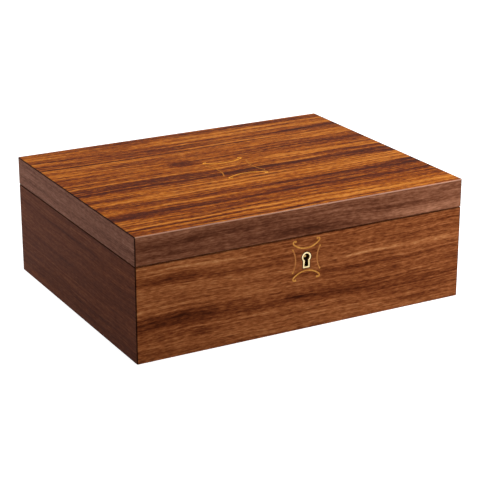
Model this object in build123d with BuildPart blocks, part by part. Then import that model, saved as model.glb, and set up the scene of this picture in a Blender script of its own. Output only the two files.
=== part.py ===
from build123d import *
import math
import os

# Musical jewelry box: a veneered wooden case with a hinged lid, a box lock, a lined interior
# and a cylinder movement in its rear left corner.
# Millimetres. X runs to the right along the front, Y to the back, Z up. The origin is the
# middle of the underside that the box stands on.

os.makedirs("parts", exist_ok=True)

# Case and lid
case_width = 292.0
case_depth = 230.0
case_height = 77.0
seam_gap = 0.6
rail_height = 22.5
veneer_thickness = 0.9
wall = 11.0
corner_radius = 0.9
arris = 0.4
mitre_margin = 2.0
edge_tolerance = 0.01
through_all = 100.0

# Bottom panel, held in grooves
base_recess = 12.0
bottom_thickness = 4.0
groove_depth = 5.0
groove_clearance = 0.2
panel_end_clearance = 0.3

# Lining and compartments
lining_thickness = 1.5
lining_below_rim = 6.0
lining_rounding = 0.6
divider_thickness = 5.0
divider_below_lining = 1.0
divider_rounding = 1.2
music_bay_length = 93.5
music_bay_depth = 80.5
bracelet_section_depth = 120.0
ring_section_length = 88.5
ring_section_depth = 102.5
pad_thickness = 4.5
pad_rounding = 2.0
pad_corner = 3.0
pad_clearance = 0.4

# Ring section
ring_base_height = 22.0
ring_base_wall = 3.0
ring_roll_count = 6
ring_roll_height = 24.0
ring_roll_gap = 0.4
ring_roll_rounding = 2.5

# Lid panel, mirror and frame bead
lid_panel_thickness = 8.0
mirror_thickness = 2.2
mirror_edge_clearance = 1.0
bead_width = 8.0
bead_height = 6.0
bead_lip = 3.2
bead_rounding = 1.6

# Hinges
hinge_from_end = 50.0
hinge_length = 32.0
hinge_leaf_width = 9.5
hinge_leaf_thickness = 1.2
knuckle_radius = 2.5
knuckle_count = 5
knuckle_gap = 0.15
knuckle_relief = 0.35
hinge_pin_radius = 1.0
hinge_pin_clearance = 0.05
hinge_pin_head_radius = 1.7
hinge_pin_head_length = 0.6
stop_lip_height = 1.5
stop_lip_thickness = 1.0
stop_lip_clearance = 0.15
lid_opening_angle = 95.0

# Countersunk brass screws
screw_radius = 1.1
screw_head_radius = 2.1
screw_length = 8.0
screw_slot_width = 0.5
screw_slot_depth = 0.5
hinge_screw_spacing = 11.0

# Escutcheon and keyhole
keyhole_below_rim = 17.1
escutcheon_radius = 4.2
escutcheon_ring = 1.3
escutcheon_drop = 9.1
escutcheon_neck = 2.8
escutcheon_foot = 3.2
escutcheon_depth = 2.2
escutcheon_proud = 0.12
keyhole_neck_start = 0.6

# Inlaid strings
string_width = 1.1
string_depth = 0.6
string_dot_radius = 0.9
string_clearance = 0.03
front_strings_below_keyhole = 1.9
front_bar = 9.3
front_bar_end = (11.5, 13.8)
front_bar_hook = (9.8, 16.0)
front_side = 9.7
front_side_end = (12.5, 9.8)
lid_bar = 16.5
lid_bar_end = (17.2, 21.6)
lid_bar_hook = (15.6, 23.6)
lid_side = 15.3
lid_side_end = (19.2, 16.0)

# Box lock
lock_plate_width = 42.0
lock_plate_height = 33.5
lock_plate_thickness = 1.4
selvage_width = 48.0
selvage_depth = 8.0
selvage_thickness = 1.2
selvage_screw_x = 21.2
lock_cap_width = 36.0
lock_cap_height = 28.0
lock_cap_depth = 6.0
lock_cap_wall = 0.8
lock_screw_x = 12.0
lock_screw_drop = 3.0
key_pin_radius = 1.1
key_pin_setback = 2.0
key_pin_rounding = 0.55
bolt_length = 13.5
bolt_height = 7.0
bolt_below_rim = 11.0
bolt_x = -15.0
bolt_side_clearance = 0.1
bolt_tongue_length = 5.1
bolt_tongue_thickness = 1.8
bolt_tongue_height = 3.8
bolt_tongue_rise = 1.9
bolt_tongue_chamfer = 0.54
bolt_notch_x = 9.45
bolt_notch_width = 4.0
bolt_notch_depth = 2.5
guide_height = 1.9
guide_clearance = 0.1
spring_strip_thickness = 0.4
spring_strip_rise = 1.6
staple_x = 6.0
staple_thickness = 1.6
staple_width = 4.0
staple_side = 0.8
staple_length = 12.0
staple_window_clearance = 0.4
staple_slot_clearance = 0.6
link_plate_width = 44.0
link_screw_x = 17.0

# Musical movement
movement_side_gap = 5.5
movement_back_gap = 40.5
bedplate_end_margin = 1.6
bedplate_width = 62.0
bedplate_thickness = 2.5
bedplate_corner = 4.0
foot_height = 3.0
foot_radius = 4.0
foot_inset = 6.0
bedplate_screw_radius = 1.5
bedplate_screw_head_radius = 3.0
bedplate_screw_head_height = 2.0
arbor_radius = 2.5
arbor_clearance = 0.05
arbor_hole_radius = 5.0
housing_radius = 17.0
housing_height = 14.0
housing_wall = 1.2
mainspring_thickness = 0.5
mainspring_first_radius = 3.6
mainspring_side_gap = 0.55
mainspring_half_turns = 12
mainspring_clearance = 0.4
crown_teeth = 32
crown_pitch_radius = 14.3
crown_face_width = 2.2
crown_disc_thickness = 1.6
crown_disc_gap = 0.7
crown_hub_radius = 5.0
crown_addendum = 0.7
crown_dedendum = 1.2
crown_tooth_share = 0.38
crown_flank_angle = 20.0
crown_rim = 0.3
pinion_leaves = 8
pinion_addendum = 0.6
pinion_dedendum = 1.1
pinion_tooth_share = 0.36
pinion_tip_share = 0.55
pinion_root_share = 0.8
pinion_width = 1.6
key_thread_radius = 1.6
key_hub_radius = 3.2
key_top_gap = 0.1
key_wing_offset = 7.0
key_wing_thickness = 2.0
key_wing_hole_radius = 2.4
key_floor_gap = 1.5
key_cap = 1.0
key_height = 9.0
cylinder_radius = 8.0
cylinder_side_gap = 2.4
cylinder_length = 30.0
cylinder_arbor_radius = 1.5
cylinder_arbor_overhang = 0.8
cylinder_wall = 1.0
cylinder_end = 1.5
great_wheel_teeth = 40
great_wheel_module = 0.5
great_wheel_gap = 0.8
great_wheel_thickness = 1.4
great_wheel_addendum = 0.35
great_wheel_dedendum = 0.6
great_wheel_tooth_share = 0.38
great_wheel_tip_share = 0.5
wheel_root_share = 1.2
bracket_thickness = 2.0
bracket_width = 10.0
bracket_foot_length = 8.0
bracket_rise = 4.5
bracket_rounding = 4.0
left_bracket_gap = 0.6
right_bracket_gap = 7.2
comb_tooth_count = 26
comb_tip_gap = 1.2
comb_side_inset = 1.0
comb_base_width = 9.0
comb_tooth_length = 9.5
comb_thickness = 2.2
comb_tooth_thickness = 0.8
comb_tooth_gap = 0.28
comb_screw_inset = 7.0
movement_screw_radius = 1.0
movement_screw_head_radius = 1.8
movement_screw_head_height = 1.2
movement_screw_length = 5.5
governor_pinion_leaves = 8
governor_mesh_clearance = 0.1
governor_pinion_width = 2.2
governor_pinion_addendum = 0.28
governor_pinion_dedendum = 0.65
governor_pinion_tooth_share = 0.32
governor_pinion_tip_share = 0.55
governor_pinion_root_share = 0.675
worm_side_gap = 1.5
worm_frame_clearance = 0.2
worm_wheel_teeth = 20
worm_module = 0.6
worm_wheel_width = 1.0
worm_wheel_dedendum = 0.8
worm_wheel_tooth_share = 0.27
worm_wheel_tip_share = 0.6
worm_pitch_radius = 2.0
worm_root_radius = 1.4
worm_addendum = 0.3
worm_mesh_clearance = 0.1
worm_starts = 2
worm_turns = 2
worm_thread_sink = 0.15
worm_thread_root_share = 0.38
worm_thread_tip_share = 0.16
governor_arbor_radius = 0.8
governor_arbor_clearance = 0.05
governor_arbor_overhang = 0.6
spindle_floor_gap = 0.2
spindle_overhang = 0.5
frame_sheet = 1.5
frame_wheel_gap = 1.3
frame_front_margin = 2.5
frame_back_margin = 8.8
frame_bridge_gap = 1.625
frame_bridge_width = 8.0
frame_screw_left_inset = 4.0
frame_screw_right_inset = 3.0
frame_screw_back_inset = 5.0
frame_screw_front_inset = 16.0
fan_gap = 1.3
fan_radius = 8.5
fan_height = 5.0
fan_blade_thickness = 0.5
fan_hub_radius = 1.54
fan_collar_radius = 2.2
fan_collar_height = 2.0
plunger_radius = 0.9
plunger_rounding = 0.54
plunger_back_clearance = 0.3
plunger_tail = 5.0
plunger_top_gap = 0.4
plunger_arm_radius = 0.5
plunger_arm_gap = 0.3
plunger_guide_drop = 7.5
plunger_guide_height = 6.0
plunger_guide_width = 4.4
cover_headroom = 4.7
cover_thickness = 2.0
cover_clearance = 0.4
cover_hole_radius = 2.2
cover_notch_radius = 9.0
ledge_height = 4.0
ledge_width = 3.0

# Places that follow from the sizes above
front_y = -case_depth / 2
back_y = case_depth / 2
inner_width = case_width - 2 * wall
inner_depth = case_depth - 2 * wall
inner_front_y = front_y + wall
lid_bottom = case_height + seam_gap
lid_wood_top = lid_bottom + rail_height
box_height = lid_wood_top + veneer_thickness
floor_z = base_recess + bottom_thickness
lined_left = -inner_width / 2 + lining_thickness
lined_right = -lined_left
lined_front = inner_front_y + lining_thickness
lined_back = -lined_front
lining_top = case_height - lining_below_rim
divider_top = lining_top - divider_below_lining
left_divider_x = lined_left + music_bay_length + divider_thickness / 2
right_divider_x = lined_right - ring_section_length - divider_thickness / 2
left_cross_y = lined_back - music_bay_depth - divider_thickness / 2
middle_cross_y = lined_back - bracelet_section_depth - divider_thickness / 2
right_cross_y = lined_back - ring_section_depth - divider_thickness / 2
hinge_x = case_width / 2 - hinge_from_end
hinge_axis_z = case_height + seam_gap / 2
keyhole_z = case_height - keyhole_below_rim
front_strings_z = keyhole_z - front_strings_below_keyhole
lock_plate_bottom = case_height - lock_plate_height
lock_cap_bottom = case_height - lock_cap_height
bolt_bottom = case_height - bolt_below_rim
tongue_bottom = bolt_bottom + bolt_tongue_rise
panel_bottom = lid_wood_top - lid_panel_thickness
bead_bottom = panel_bottom - bead_height
movement_x = lined_left + movement_side_gap + housing_radius
movement_y = lined_back - movement_back_gap
bedplate_left = movement_x - housing_radius
left_bracket_x = movement_x + housing_radius + left_bracket_gap
cylinder_left = left_bracket_x + bracket_thickness + cylinder_side_gap
bed_bottom = floor_z + foot_height
bed_top = bed_bottom + bedplate_thickness
housing_top = bed_top + housing_height
spring_room = housing_radius - housing_wall - mainspring_side_gap - mainspring_thickness / 2
mainspring_pitch = 2 * (spring_room - mainspring_first_radius) / mainspring_half_turns
key_wing_radius = (base_recess - key_floor_gap - key_top_gap) / 2
crown_module = 2 * crown_pitch_radius / crown_teeth
pinion_pitch_radius = crown_module * pinion_leaves / 2
crown_disc_bottom = housing_top + crown_disc_gap
crown_root_z = crown_disc_bottom + crown_disc_thickness
crown_pitch_z = crown_root_z + crown_dedendum
cylinder_z = crown_pitch_z + pinion_pitch_radius
cylinder_right = cylinder_left + cylinder_length
great_wheel_radius = great_wheel_module * great_wheel_teeth / 2
governor_pinion_radius = great_wheel_module * governor_pinion_leaves / 2
governor_y = movement_y + great_wheel_radius + governor_pinion_radius + governor_mesh_clearance
worm_wheel_radius = worm_module * worm_wheel_teeth / 2
worm_y = governor_y + worm_wheel_radius + worm_pitch_radius + worm_mesh_clearance
worm_pitch = math.pi * worm_module
worm_lead = worm_pitch * worm_starts
worm_tip_radius = worm_pitch_radius + worm_addendum
great_wheel_x = cylinder_right + great_wheel_gap
worm_wheel_x = great_wheel_x + great_wheel_thickness + worm_side_gap + worm_tip_radius
right_bracket_x = great_wheel_x + great_wheel_thickness + right_bracket_gap
bedplate_length = right_bracket_x + bracket_thickness + bedplate_end_margin - bedplate_left
frame_left_x = great_wheel_x - frame_wheel_gap - frame_sheet
frame_right_x = worm_wheel_x + worm_tip_radius + worm_frame_clearance
frame_front_y = governor_y - frame_front_margin
frame_back_y = worm_y + frame_back_margin
frame_bridge_z = cylinder_z + worm_wheel_radius + worm_addendum + frame_bridge_gap
fan_bottom = frame_bridge_z + frame_sheet + fan_gap
collar_bottom = fan_bottom + fan_height
spindle_top = collar_bottom + fan_collar_height + spindle_overhang
cover_bottom = spindle_top + cover_headroom
plunger_x = frame_left_x + frame_sheet / 2
plunger_y = lined_back - plunger_back_clearance - plunger_guide_width / 2
plunger_guide_bottom = frame_bridge_z - plunger_guide_drop
plunger_bottom = plunger_guide_bottom - plunger_tail
plunger_top = bead_bottom - plunger_top_gap
bolt_y = (inner_front_y - lock_plate_thickness) - (lock_cap_depth - lock_cap_wall) / 2


def finish(builder, name):
    """Name a finished piece and write it."""
    builder.part.label = name
    export_step(builder.part, f"parts/{name}.step")


def mitre_sector(side):
    """Outline between the two mitre lines of one side, a little too wide on the outside."""
    corners = {
        "front": ((-1, -1), (1, -1)),
        "back": ((1, 1), (-1, 1)),
        "left": ((-1, 1), (-1, -1)),
        "right": ((1, -1), (1, 1)),
    }[side]
    half_width = case_width / 2 + mitre_margin
    half_depth = case_depth / 2 + mitre_margin
    reach = 3 * wall
    outer = [(sx * half_width, sy * half_depth) for sx, sy in corners]
    inner = [(sx * (half_width - reach), sy * (half_depth - reach)) for sx, sy in reversed(corners)]
    return outer + inner


def board_outline(side, bottom):
    """Plan of one mitred board of the case or the lid."""
    with BuildSketch(Plane.XY.offset(bottom)) as outline:
        RectangleRounded(case_width, case_depth, corner_radius)
        Rectangle(inner_width, inner_depth, mode=Mode.SUBTRACT)
        Polygon(*mitre_sector(side), mode=Mode.INTERSECT)
    return outline.sketch


def bead_outline(side, bottom, width):
    """Plan of one mitred frame bead inside the lid."""
    with BuildSketch(Plane.XY.offset(bottom)) as outline:
        Rectangle(inner_width, inner_depth)
        Rectangle(inner_width - 2 * width, inner_depth - 2 * width, mode=Mode.SUBTRACT)
        Polygon(*mitre_sector(side), mode=Mode.INTERSECT)
    return outline.sketch


def on_outside(edge):
    """True for an edge that lies on the outer faces of the box."""
    middle = edge.center()
    outside_x = abs(middle.X) > case_width / 2 - corner_radius
    outside_y = abs(middle.Y) > case_depth / 2 - corner_radius
    return outside_x or outside_y


def level_rim(builder, height):
    """Outer edges of a board at one height, which are eased."""
    level = builder.edges().filter_by_position(Axis.Z, height - edge_tolerance, height + edge_tolerance)
    return level.filter_by(on_outside)


def string_sketch(plane, bar, bar_end, bar_hook, side, side_end, width, dot):
    """Four hollow-sided strings round a centre: two bars with hooked ends and two sides."""
    with BuildSketch(plane) as strings:
        with BuildLine():
            top = ThreePointArc((-bar_end[0], bar_end[1]), (0, bar), (bar_end[0], bar_end[1]))
            TangentArc(top @ 1, bar_hook, tangent=top % 1)
            TangentArc(top @ 0, (-bar_hook[0], bar_hook[1]), tangent=(top % 0) * -1)
            mirror(about=Plane.XZ)
            right = ThreePointArc((side_end[0], side_end[1]), (side, 0), (side_end[0], -side_end[1]))
            mirror(right, about=Plane.YZ)
        trace(line_width=width)
        with Locations(*[(sx * bar_hook[0], sy * bar_hook[1]) for sx in (-1, 1) for sy in (-1, 1)]):
            Circle(dot)
    return strings.sketch


def keyhole_sketch(plane, radius, neck, foot, drop):
    """Round-topped keyhole with a slightly flared skirt."""
    with BuildSketch(plane) as keyhole:
        Circle(radius)
        neck_y = -radius * keyhole_neck_start
        Polygon((-neck, neck_y), (-foot, -drop), (foot, -drop), (neck, neck_y))
    return keyhole.sketch


def front_strings(width, dot):
    """Strings on the front, round the keyhole."""
    plane = Plane((0, front_y, front_strings_z), x_dir=(1, 0, 0), z_dir=(0, -1, 0))
    return string_sketch(
        plane, front_bar, front_bar_end, front_bar_hook, front_side, front_side_end, width, dot
    )


def lid_strings(width, dot):
    """Strings in the middle of the lid."""
    plane = Plane.XY.offset(box_height)
    return string_sketch(plane, lid_bar, lid_bar_end, lid_bar_hook, lid_side, lid_side_end, width, dot)


def screw_blank():
    """Countersunk screw without its slot, head flush with the plane it is put on."""
    with BuildPart() as blank:
        with BuildSketch(Plane.XZ):
            with BuildLine():
                Polyline(
                    (0, 0),
                    (screw_head_radius, 0),
                    (screw_radius, screw_radius - screw_head_radius),
                    (screw_radius, screw_radius - screw_length),
                    (0, -screw_length),
                    close=True,
                )
            make_face()
        revolve(axis=Axis.Z)
    return blank.part


def slotted_screw():
    """Countersunk screw with a driver slot across its head."""
    with BuildPart() as screw:
        add(screw_blank())
        Box(2 * screw_head_radius, screw_slot_width, 2 * screw_slot_depth, mode=Mode.SUBTRACT)
    return screw.part


def movement_screw():
    """Small cheese-headed screw, its head standing on the plane it is put on."""
    with BuildPart() as screw:
        Cylinder(
            movement_screw_head_radius,
            movement_screw_head_height,
            align=(Align.CENTER, Align.CENTER, Align.MIN),
        )
        Cylinder(
            movement_screw_radius,
            movement_screw_length,
            align=(Align.CENTER, Align.CENTER, Align.MAX),
        )
        with Locations((0, 0, movement_screw_head_height)):
            Box(2 * movement_screw_head_radius, screw_slot_width, screw_slot_depth, mode=Mode.SUBTRACT)
    return screw.part


blank_screw = screw_blank()
brass_screw = slotted_screw()
small_screw = movement_screw()


def case_board(side):
    """Mitred board of the case with the groove for the bottom panel."""
    with BuildPart() as board:
        extrude(board_outline(side, 0), amount=case_height)
        fillet(level_rim(board, 0) + level_rim(board, case_height), arris)
        with BuildSketch(Plane.XY.offset(base_recess)):
            Rectangle(inner_width + 2 * groove_depth, inner_depth + 2 * groove_depth)
        extrude(amount=bottom_thickness + groove_clearance, mode=Mode.SUBTRACT)
    return board.part


def lid_rail(side):
    """Mitred rail of the lid."""
    with BuildPart() as rail:
        extrude(board_outline(side, lid_bottom), amount=rail_height)
        fillet(level_rim(rail, lid_bottom), arris)
    return rail.part


# Places of the screws, shared by the screws and their holes
hinge_screw_y = back_y - (hinge_leaf_width + knuckle_radius + knuckle_gap) / 2
hinge_screw_points = [
    (side * hinge_x + step * hinge_screw_spacing, hinge_screw_y) for side in (-1, 1) for step in (-1, 0, 1)
]
case_leaf_screws = [Plane((x, y, case_height)) for x, y in hinge_screw_points]
lid_leaf_screws = [Plane((x, y, lid_bottom), z_dir=(0, 0, -1)) for x, y in hinge_screw_points]
selvage_y = inner_front_y - selvage_depth / 2
selvage_screws = [Plane((side * selvage_screw_x, selvage_y, case_height)) for side in (-1, 1)]
plate_screw_z = lock_plate_bottom + lock_screw_drop
plate_screws = [
    Plane((side * lock_screw_x, inner_front_y, plate_screw_z), z_dir=(0, 1, 0)) for side in (-1, 1)
]
link_screws = [Plane((side * link_screw_x, selvage_y, lid_bottom), z_dir=(0, 0, -1)) for side in (-1, 1)]
cap_back_y = inner_front_y - lock_plate_thickness
selvage_bottom = case_height - selvage_thickness
front_plane = Plane((0, front_y, keyhole_z), x_dir=(1, 0, 0), z_dir=(0, -1, 0))


def keyhole_opening(plane):
    """The clear keyhole inside the escutcheon's ring."""
    return keyhole_sketch(
        plane,
        escutcheon_radius - escutcheon_ring,
        escutcheon_neck - escutcheon_ring,
        escutcheon_foot - escutcheon_ring,
        escutcheon_drop - escutcheon_ring,
    )


def escutcheon_outline(plane):
    """The outer shape of the escutcheon."""
    return keyhole_sketch(plane, escutcheon_radius, escutcheon_neck, escutcheon_foot, escutcheon_drop)


def hinge_space(z_low, z_high):
    """What a pair of hinges takes out of a board: the leaf recesses and the knuckle channels."""
    with BuildPart() as space:
        for side in (-1, 1):
            with Locations((side * hinge_x, back_y, (z_low + z_high) / 2)):
                Box(
                    hinge_length,
                    2 * hinge_leaf_width,
                    z_high - z_low,
                )
            with Locations(Plane((side * hinge_x, back_y, hinge_axis_z), z_dir=(1, 0, 0))):
                Cylinder(
                    knuckle_radius + knuckle_relief,
                    hinge_length + 2 * (hinge_pin_head_length + knuckle_relief),
                )
    return space.part


# Case boards
with BuildPart() as front_board:
    add(case_board("front"))
    with BuildSketch(Plane.XZ.offset(-inner_front_y)):
        with Locations((0, (lock_plate_bottom + case_height) / 2)):
            Rectangle(lock_plate_width, case_height - lock_plate_bottom)
    extrude(amount=lock_plate_thickness, mode=Mode.SUBTRACT)
    with BuildSketch(Plane.XZ.offset(-inner_front_y)):
        with Locations((0, (lock_cap_bottom + case_height) / 2)):
            Rectangle(lock_cap_width, case_height - lock_cap_bottom)
    extrude(amount=lock_plate_thickness + lock_cap_depth, mode=Mode.SUBTRACT)
    with Locations((0, selvage_y, case_height - selvage_thickness / 2)):
        Box(selvage_width, selvage_depth, selvage_thickness, mode=Mode.SUBTRACT)
    extrude(keyhole_opening(front_plane), amount=-wall, mode=Mode.SUBTRACT)
    extrude(escutcheon_outline(front_plane), amount=-escutcheon_depth, mode=Mode.SUBTRACT)
    extrude(
        front_strings(string_width + 2 * string_clearance, string_dot_radius + string_clearance),
        amount=-string_depth,
        mode=Mode.SUBTRACT,
    )
    with Locations(*selvage_screws, *plate_screws):
        add(blank_screw, mode=Mode.SUBTRACT)
finish(front_board, "front_board")

with BuildPart() as back_board:
    add(case_board("back"))
    add(hinge_space(case_height - hinge_leaf_thickness, case_height), mode=Mode.SUBTRACT)
    with Locations(*case_leaf_screws):
        add(blank_screw, mode=Mode.SUBTRACT)
finish(back_board, "back_board")

with BuildPart() as left_board:
    add(case_board("left"))
finish(left_board, "left_board")

with BuildPart() as right_board:
    add(case_board("right"))
finish(right_board, "right_board")

# Bottom panel with holes for the winding arbor and the movement's screws
bed_center_x = bedplate_left + bedplate_length / 2
foot_reach_x = bedplate_length / 2 - foot_inset
foot_reach_y = bedplate_width / 2 - foot_inset
foot_points = [
    (bed_center_x + sx * foot_reach_x, movement_y + sy * foot_reach_y) for sx in (-1, 1) for sy in (-1, 1)
]

with BuildPart() as bottom_panel:
    with BuildSketch(Plane.XY.offset(base_recess)):
        Rectangle(
            inner_width + 2 * (groove_depth - panel_end_clearance),
            inner_depth + 2 * (groove_depth - panel_end_clearance),
        )
        with Locations((movement_x, movement_y)):
            Circle(arbor_hole_radius, mode=Mode.SUBTRACT)
        with Locations(*foot_points):
            Circle(bedplate_screw_radius, mode=Mode.SUBTRACT)
    extrude(amount=bottom_thickness)
finish(bottom_panel, "bottom_panel")


# Velvet-covered linings on the four walls
def lining_panel(x_low, x_high, y_low, y_high, top):
    """Upright lining card with a softened top edge."""
    with BuildPart() as panel:
        with Locations(((x_low + x_high) / 2, (y_low + y_high) / 2, floor_z)):
            Box(x_high - x_low, y_high - y_low, top - floor_z, align=(Align.CENTER, Align.CENTER, Align.MIN))
        rim = panel.edges().group_by(Axis.Z)[-1]
        fillet(rim.sort_by(SortBy.LENGTH)[-2:], lining_rounding)
    return panel.part


with BuildPart() as front_lining:
    add(lining_panel(-inner_width / 2, inner_width / 2, inner_front_y, lined_front, lining_top))
    with Locations((0, lined_front, (lock_plate_bottom + lining_top) / 2)):
        Box(
            lock_plate_width + 2 * pad_clearance,
            4 * lining_thickness,
            lining_top - lock_plate_bottom + 2 * pad_clearance,
            mode=Mode.SUBTRACT,
        )
finish(front_lining, "front_lining")

with BuildPart() as back_lining:
    add(lining_panel(-inner_width / 2, inner_width / 2, lined_back, -inner_front_y, lining_top))
finish(back_lining, "back_lining")

with BuildPart() as side_linings:
    add(lining_panel(-inner_width / 2, lined_left, lined_front, lined_back, lining_top))
    add(lining_panel(lined_right, inner_width / 2, lined_front, lined_back, lining_top))
finish(side_linings, "side_linings")


def divider(x_low, x_high, y_low, y_high):
    """Covered divider standing on the bottom panel, its long top edges rounded."""
    with BuildPart() as board:
        with Locations(((x_low + x_high) / 2, (y_low + y_high) / 2, floor_z)):
            Box(
                x_high - x_low,
                y_high - y_low,
                divider_top - floor_z,
                align=(Align.CENTER, Align.CENTER, Align.MIN),
            )
        rim = board.edges().group_by(Axis.Z)[-1]
        fillet(rim.sort_by(SortBy.LENGTH)[-2:], divider_rounding)
    return board.part


half_divider = divider_thickness / 2
left_column = (lined_left, left_divider_x - half_divider)
middle_column = (left_divider_x + half_divider, right_divider_x - half_divider)
right_column = (right_divider_x + half_divider, lined_right)

with BuildPart() as left_divider:
    add(divider(left_column[1], middle_column[0], lined_front, lined_back))
finish(left_divider, "left_divider")

with BuildPart() as right_divider:
    add(divider(middle_column[1], right_column[0], lined_front, lined_back))
finish(right_divider, "right_divider")

with BuildPart() as left_cross_divider:
    add(divider(*left_column, left_cross_y - half_divider, left_cross_y + half_divider))
finish(left_cross_divider, "left_cross_divider")

with BuildPart() as middle_cross_divider:
    add(divider(*middle_column, middle_cross_y - half_divider, middle_cross_y + half_divider))
finish(middle_cross_divider, "middle_cross_divider")

with BuildPart() as right_cross_divider:
    add(divider(*right_column, right_cross_y - half_divider, right_cross_y + half_divider))
finish(right_cross_divider, "right_cross_divider")


def floor_pad(x_range, y_low, y_high):
    """Padded floor of a compartment, its upper edge rolled over all the way round."""
    length = x_range[1] - x_range[0] - 2 * pad_clearance
    width = y_high - y_low - 2 * pad_clearance
    with BuildPart() as pad:
        with BuildSketch(Plane.XY.offset(floor_z)):
            with Locations(((x_range[0] + x_range[1]) / 2, (y_low + y_high) / 2)):
                RectangleRounded(length, width, pad_corner)
        extrude(amount=pad_thickness)
        fillet(pad.edges().group_by(Axis.Z)[-1], pad_rounding)
    return pad.part


with BuildPart() as front_left_pad:
    add(floor_pad(left_column, lined_front, left_cross_y - half_divider))
finish(front_left_pad, "front_left_pad")

with BuildPart() as front_middle_pad:
    add(floor_pad(middle_column, lined_front, middle_cross_y - half_divider))
finish(front_middle_pad, "front_middle_pad")

with BuildPart() as rear_middle_pad:
    add(floor_pad(middle_column, middle_cross_y + half_divider, lined_back))
finish(rear_middle_pad, "rear_middle_pad")

with BuildPart() as front_right_pad:
    add(floor_pad(right_column, lined_front, right_cross_y - half_divider))
finish(front_right_pad, "front_right_pad")

# Ring section: a raised base with padded rolls side by side
ring_front = right_cross_y + half_divider
ring_center_x = sum(right_column) / 2
ring_center_y = (ring_front + lined_back) / 2
ring_length = right_column[1] - right_column[0] - 2 * pad_clearance
ring_depth = lined_back - ring_front - 2 * pad_clearance
ring_top = floor_z + ring_base_height

with BuildPart() as ring_section_base:
    with BuildSketch(Plane.XY.offset(floor_z)):
        with Locations((ring_center_x, ring_center_y)):
            Rectangle(ring_length, ring_depth)
    extrude(amount=ring_base_height)
    with BuildSketch(Plane.XY.offset(floor_z)):
        with Locations((ring_center_x, ring_center_y)):
            Rectangle(ring_length - 2 * ring_base_wall, ring_depth)
    extrude(amount=ring_base_height - ring_base_wall, mode=Mode.SUBTRACT)
finish(ring_section_base, "ring_section_base")

ring_roll_pitch = ring_depth / ring_roll_count
ring_roll_width = ring_roll_pitch - ring_roll_gap


def ring_roll():
    """Padded roll with a round top and softened ends, standing on its flat underside."""
    with BuildPart() as roll:
        shoulder = ring_roll_height - ring_roll_width / 2
        with BuildSketch(Plane.YZ):
            with Locations((0, shoulder / 2)):
                Rectangle(ring_roll_width, shoulder)
            with Locations((0, shoulder)):
                Circle(ring_roll_width / 2)
        extrude(amount=ring_length / 2, both=True)
        ends = roll.faces().sort_by(Axis.X)
        rims = ends[0].edges() + ends[-1].edges()
        raised = rims.filter_by(lambda edge: edge.center().Z > edge_tolerance)
        fillet(raised, ring_roll_rounding)
    return roll.part


one_ring_roll = ring_roll()
with BuildPart() as ring_rolls:
    for index in range(ring_roll_count):
        place_y = ring_center_y + (index - (ring_roll_count - 1) / 2) * ring_roll_pitch
        with Locations((ring_center_x, place_y, ring_top)):
            add(one_ring_roll)
finish(ring_rolls, "ring_rolls")

# Escutcheon and the strings let into the front
with BuildPart() as escutcheon:
    extrude(
        escutcheon_outline(front_plane.offset(escutcheon_proud)),
        amount=-(escutcheon_depth + escutcheon_proud),
    )
    extrude(
        keyhole_opening(front_plane.offset(escutcheon_proud)),
        amount=-(escutcheon_depth + escutcheon_proud),
        mode=Mode.SUBTRACT,
    )
finish(escutcheon, "escutcheon")

with BuildPart() as front_inlay:
    extrude(front_strings(string_width, string_dot_radius), amount=-string_depth)
finish(front_inlay, "front_inlay")

# Box lock
with BuildPart() as lock_plate:
    with BuildSketch(Plane.XZ.offset(-inner_front_y)):
        with Locations((0, (lock_plate_bottom + case_height) / 2)):
            Rectangle(lock_plate_width, case_height - lock_plate_bottom)
    extrude(amount=lock_plate_thickness)
    with Locations((0, selvage_y, case_height - selvage_thickness / 2)):
        Box(selvage_width, selvage_depth, selvage_thickness)
    with Locations((staple_x, bolt_y, case_height)):
        Box(
            staple_thickness + 2 * staple_slot_clearance,
            staple_width + staple_slot_clearance,
            4 * selvage_thickness,
            mode=Mode.SUBTRACT,
        )
    guide_depth = lock_cap_depth - lock_cap_wall - 2 * bolt_side_clearance
    guide_length = staple_x - staple_thickness - bolt_x
    with Locations((bolt_x, cap_back_y, bolt_bottom - guide_clearance)):
        Box(
            guide_length,
            guide_depth,
            guide_height,
            align=(Align.MIN, Align.MAX, Align.MAX),
        )
    with Locations(*selvage_screws, *plate_screws):
        add(blank_screw, mode=Mode.SUBTRACT)
finish(lock_plate, "lock_plate")

with BuildPart() as lock_cap:
    cap_height = selvage_bottom - lock_cap_bottom
    cap_center_z = (selvage_bottom + lock_cap_bottom) / 2
    with Locations((0, cap_back_y - lock_cap_depth / 2, cap_center_z)):
        Box(lock_cap_width, lock_cap_depth, cap_height)
    with Locations((0, cap_back_y, cap_center_z + lock_cap_wall)):
        Box(
            lock_cap_width - 2 * lock_cap_wall,
            2 * (lock_cap_depth - lock_cap_wall),
            cap_height,
            mode=Mode.SUBTRACT,
        )
    extrude(keyhole_opening(front_plane), amount=-wall, mode=Mode.SUBTRACT)
finish(lock_cap, "lock_cap")

with BuildPart() as lock_key_pin:
    pin_front = front_y + key_pin_setback
    with Locations(Plane((0, cap_back_y, keyhole_z), z_dir=(0, -1, 0))):
        Cylinder(key_pin_radius, cap_back_y - pin_front, align=(Align.CENTER, Align.CENTER, Align.MIN))
    fillet(lock_key_pin.edges().group_by(Axis.Y)[0], key_pin_rounding)
finish(lock_key_pin, "lock_key_pin")

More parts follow.
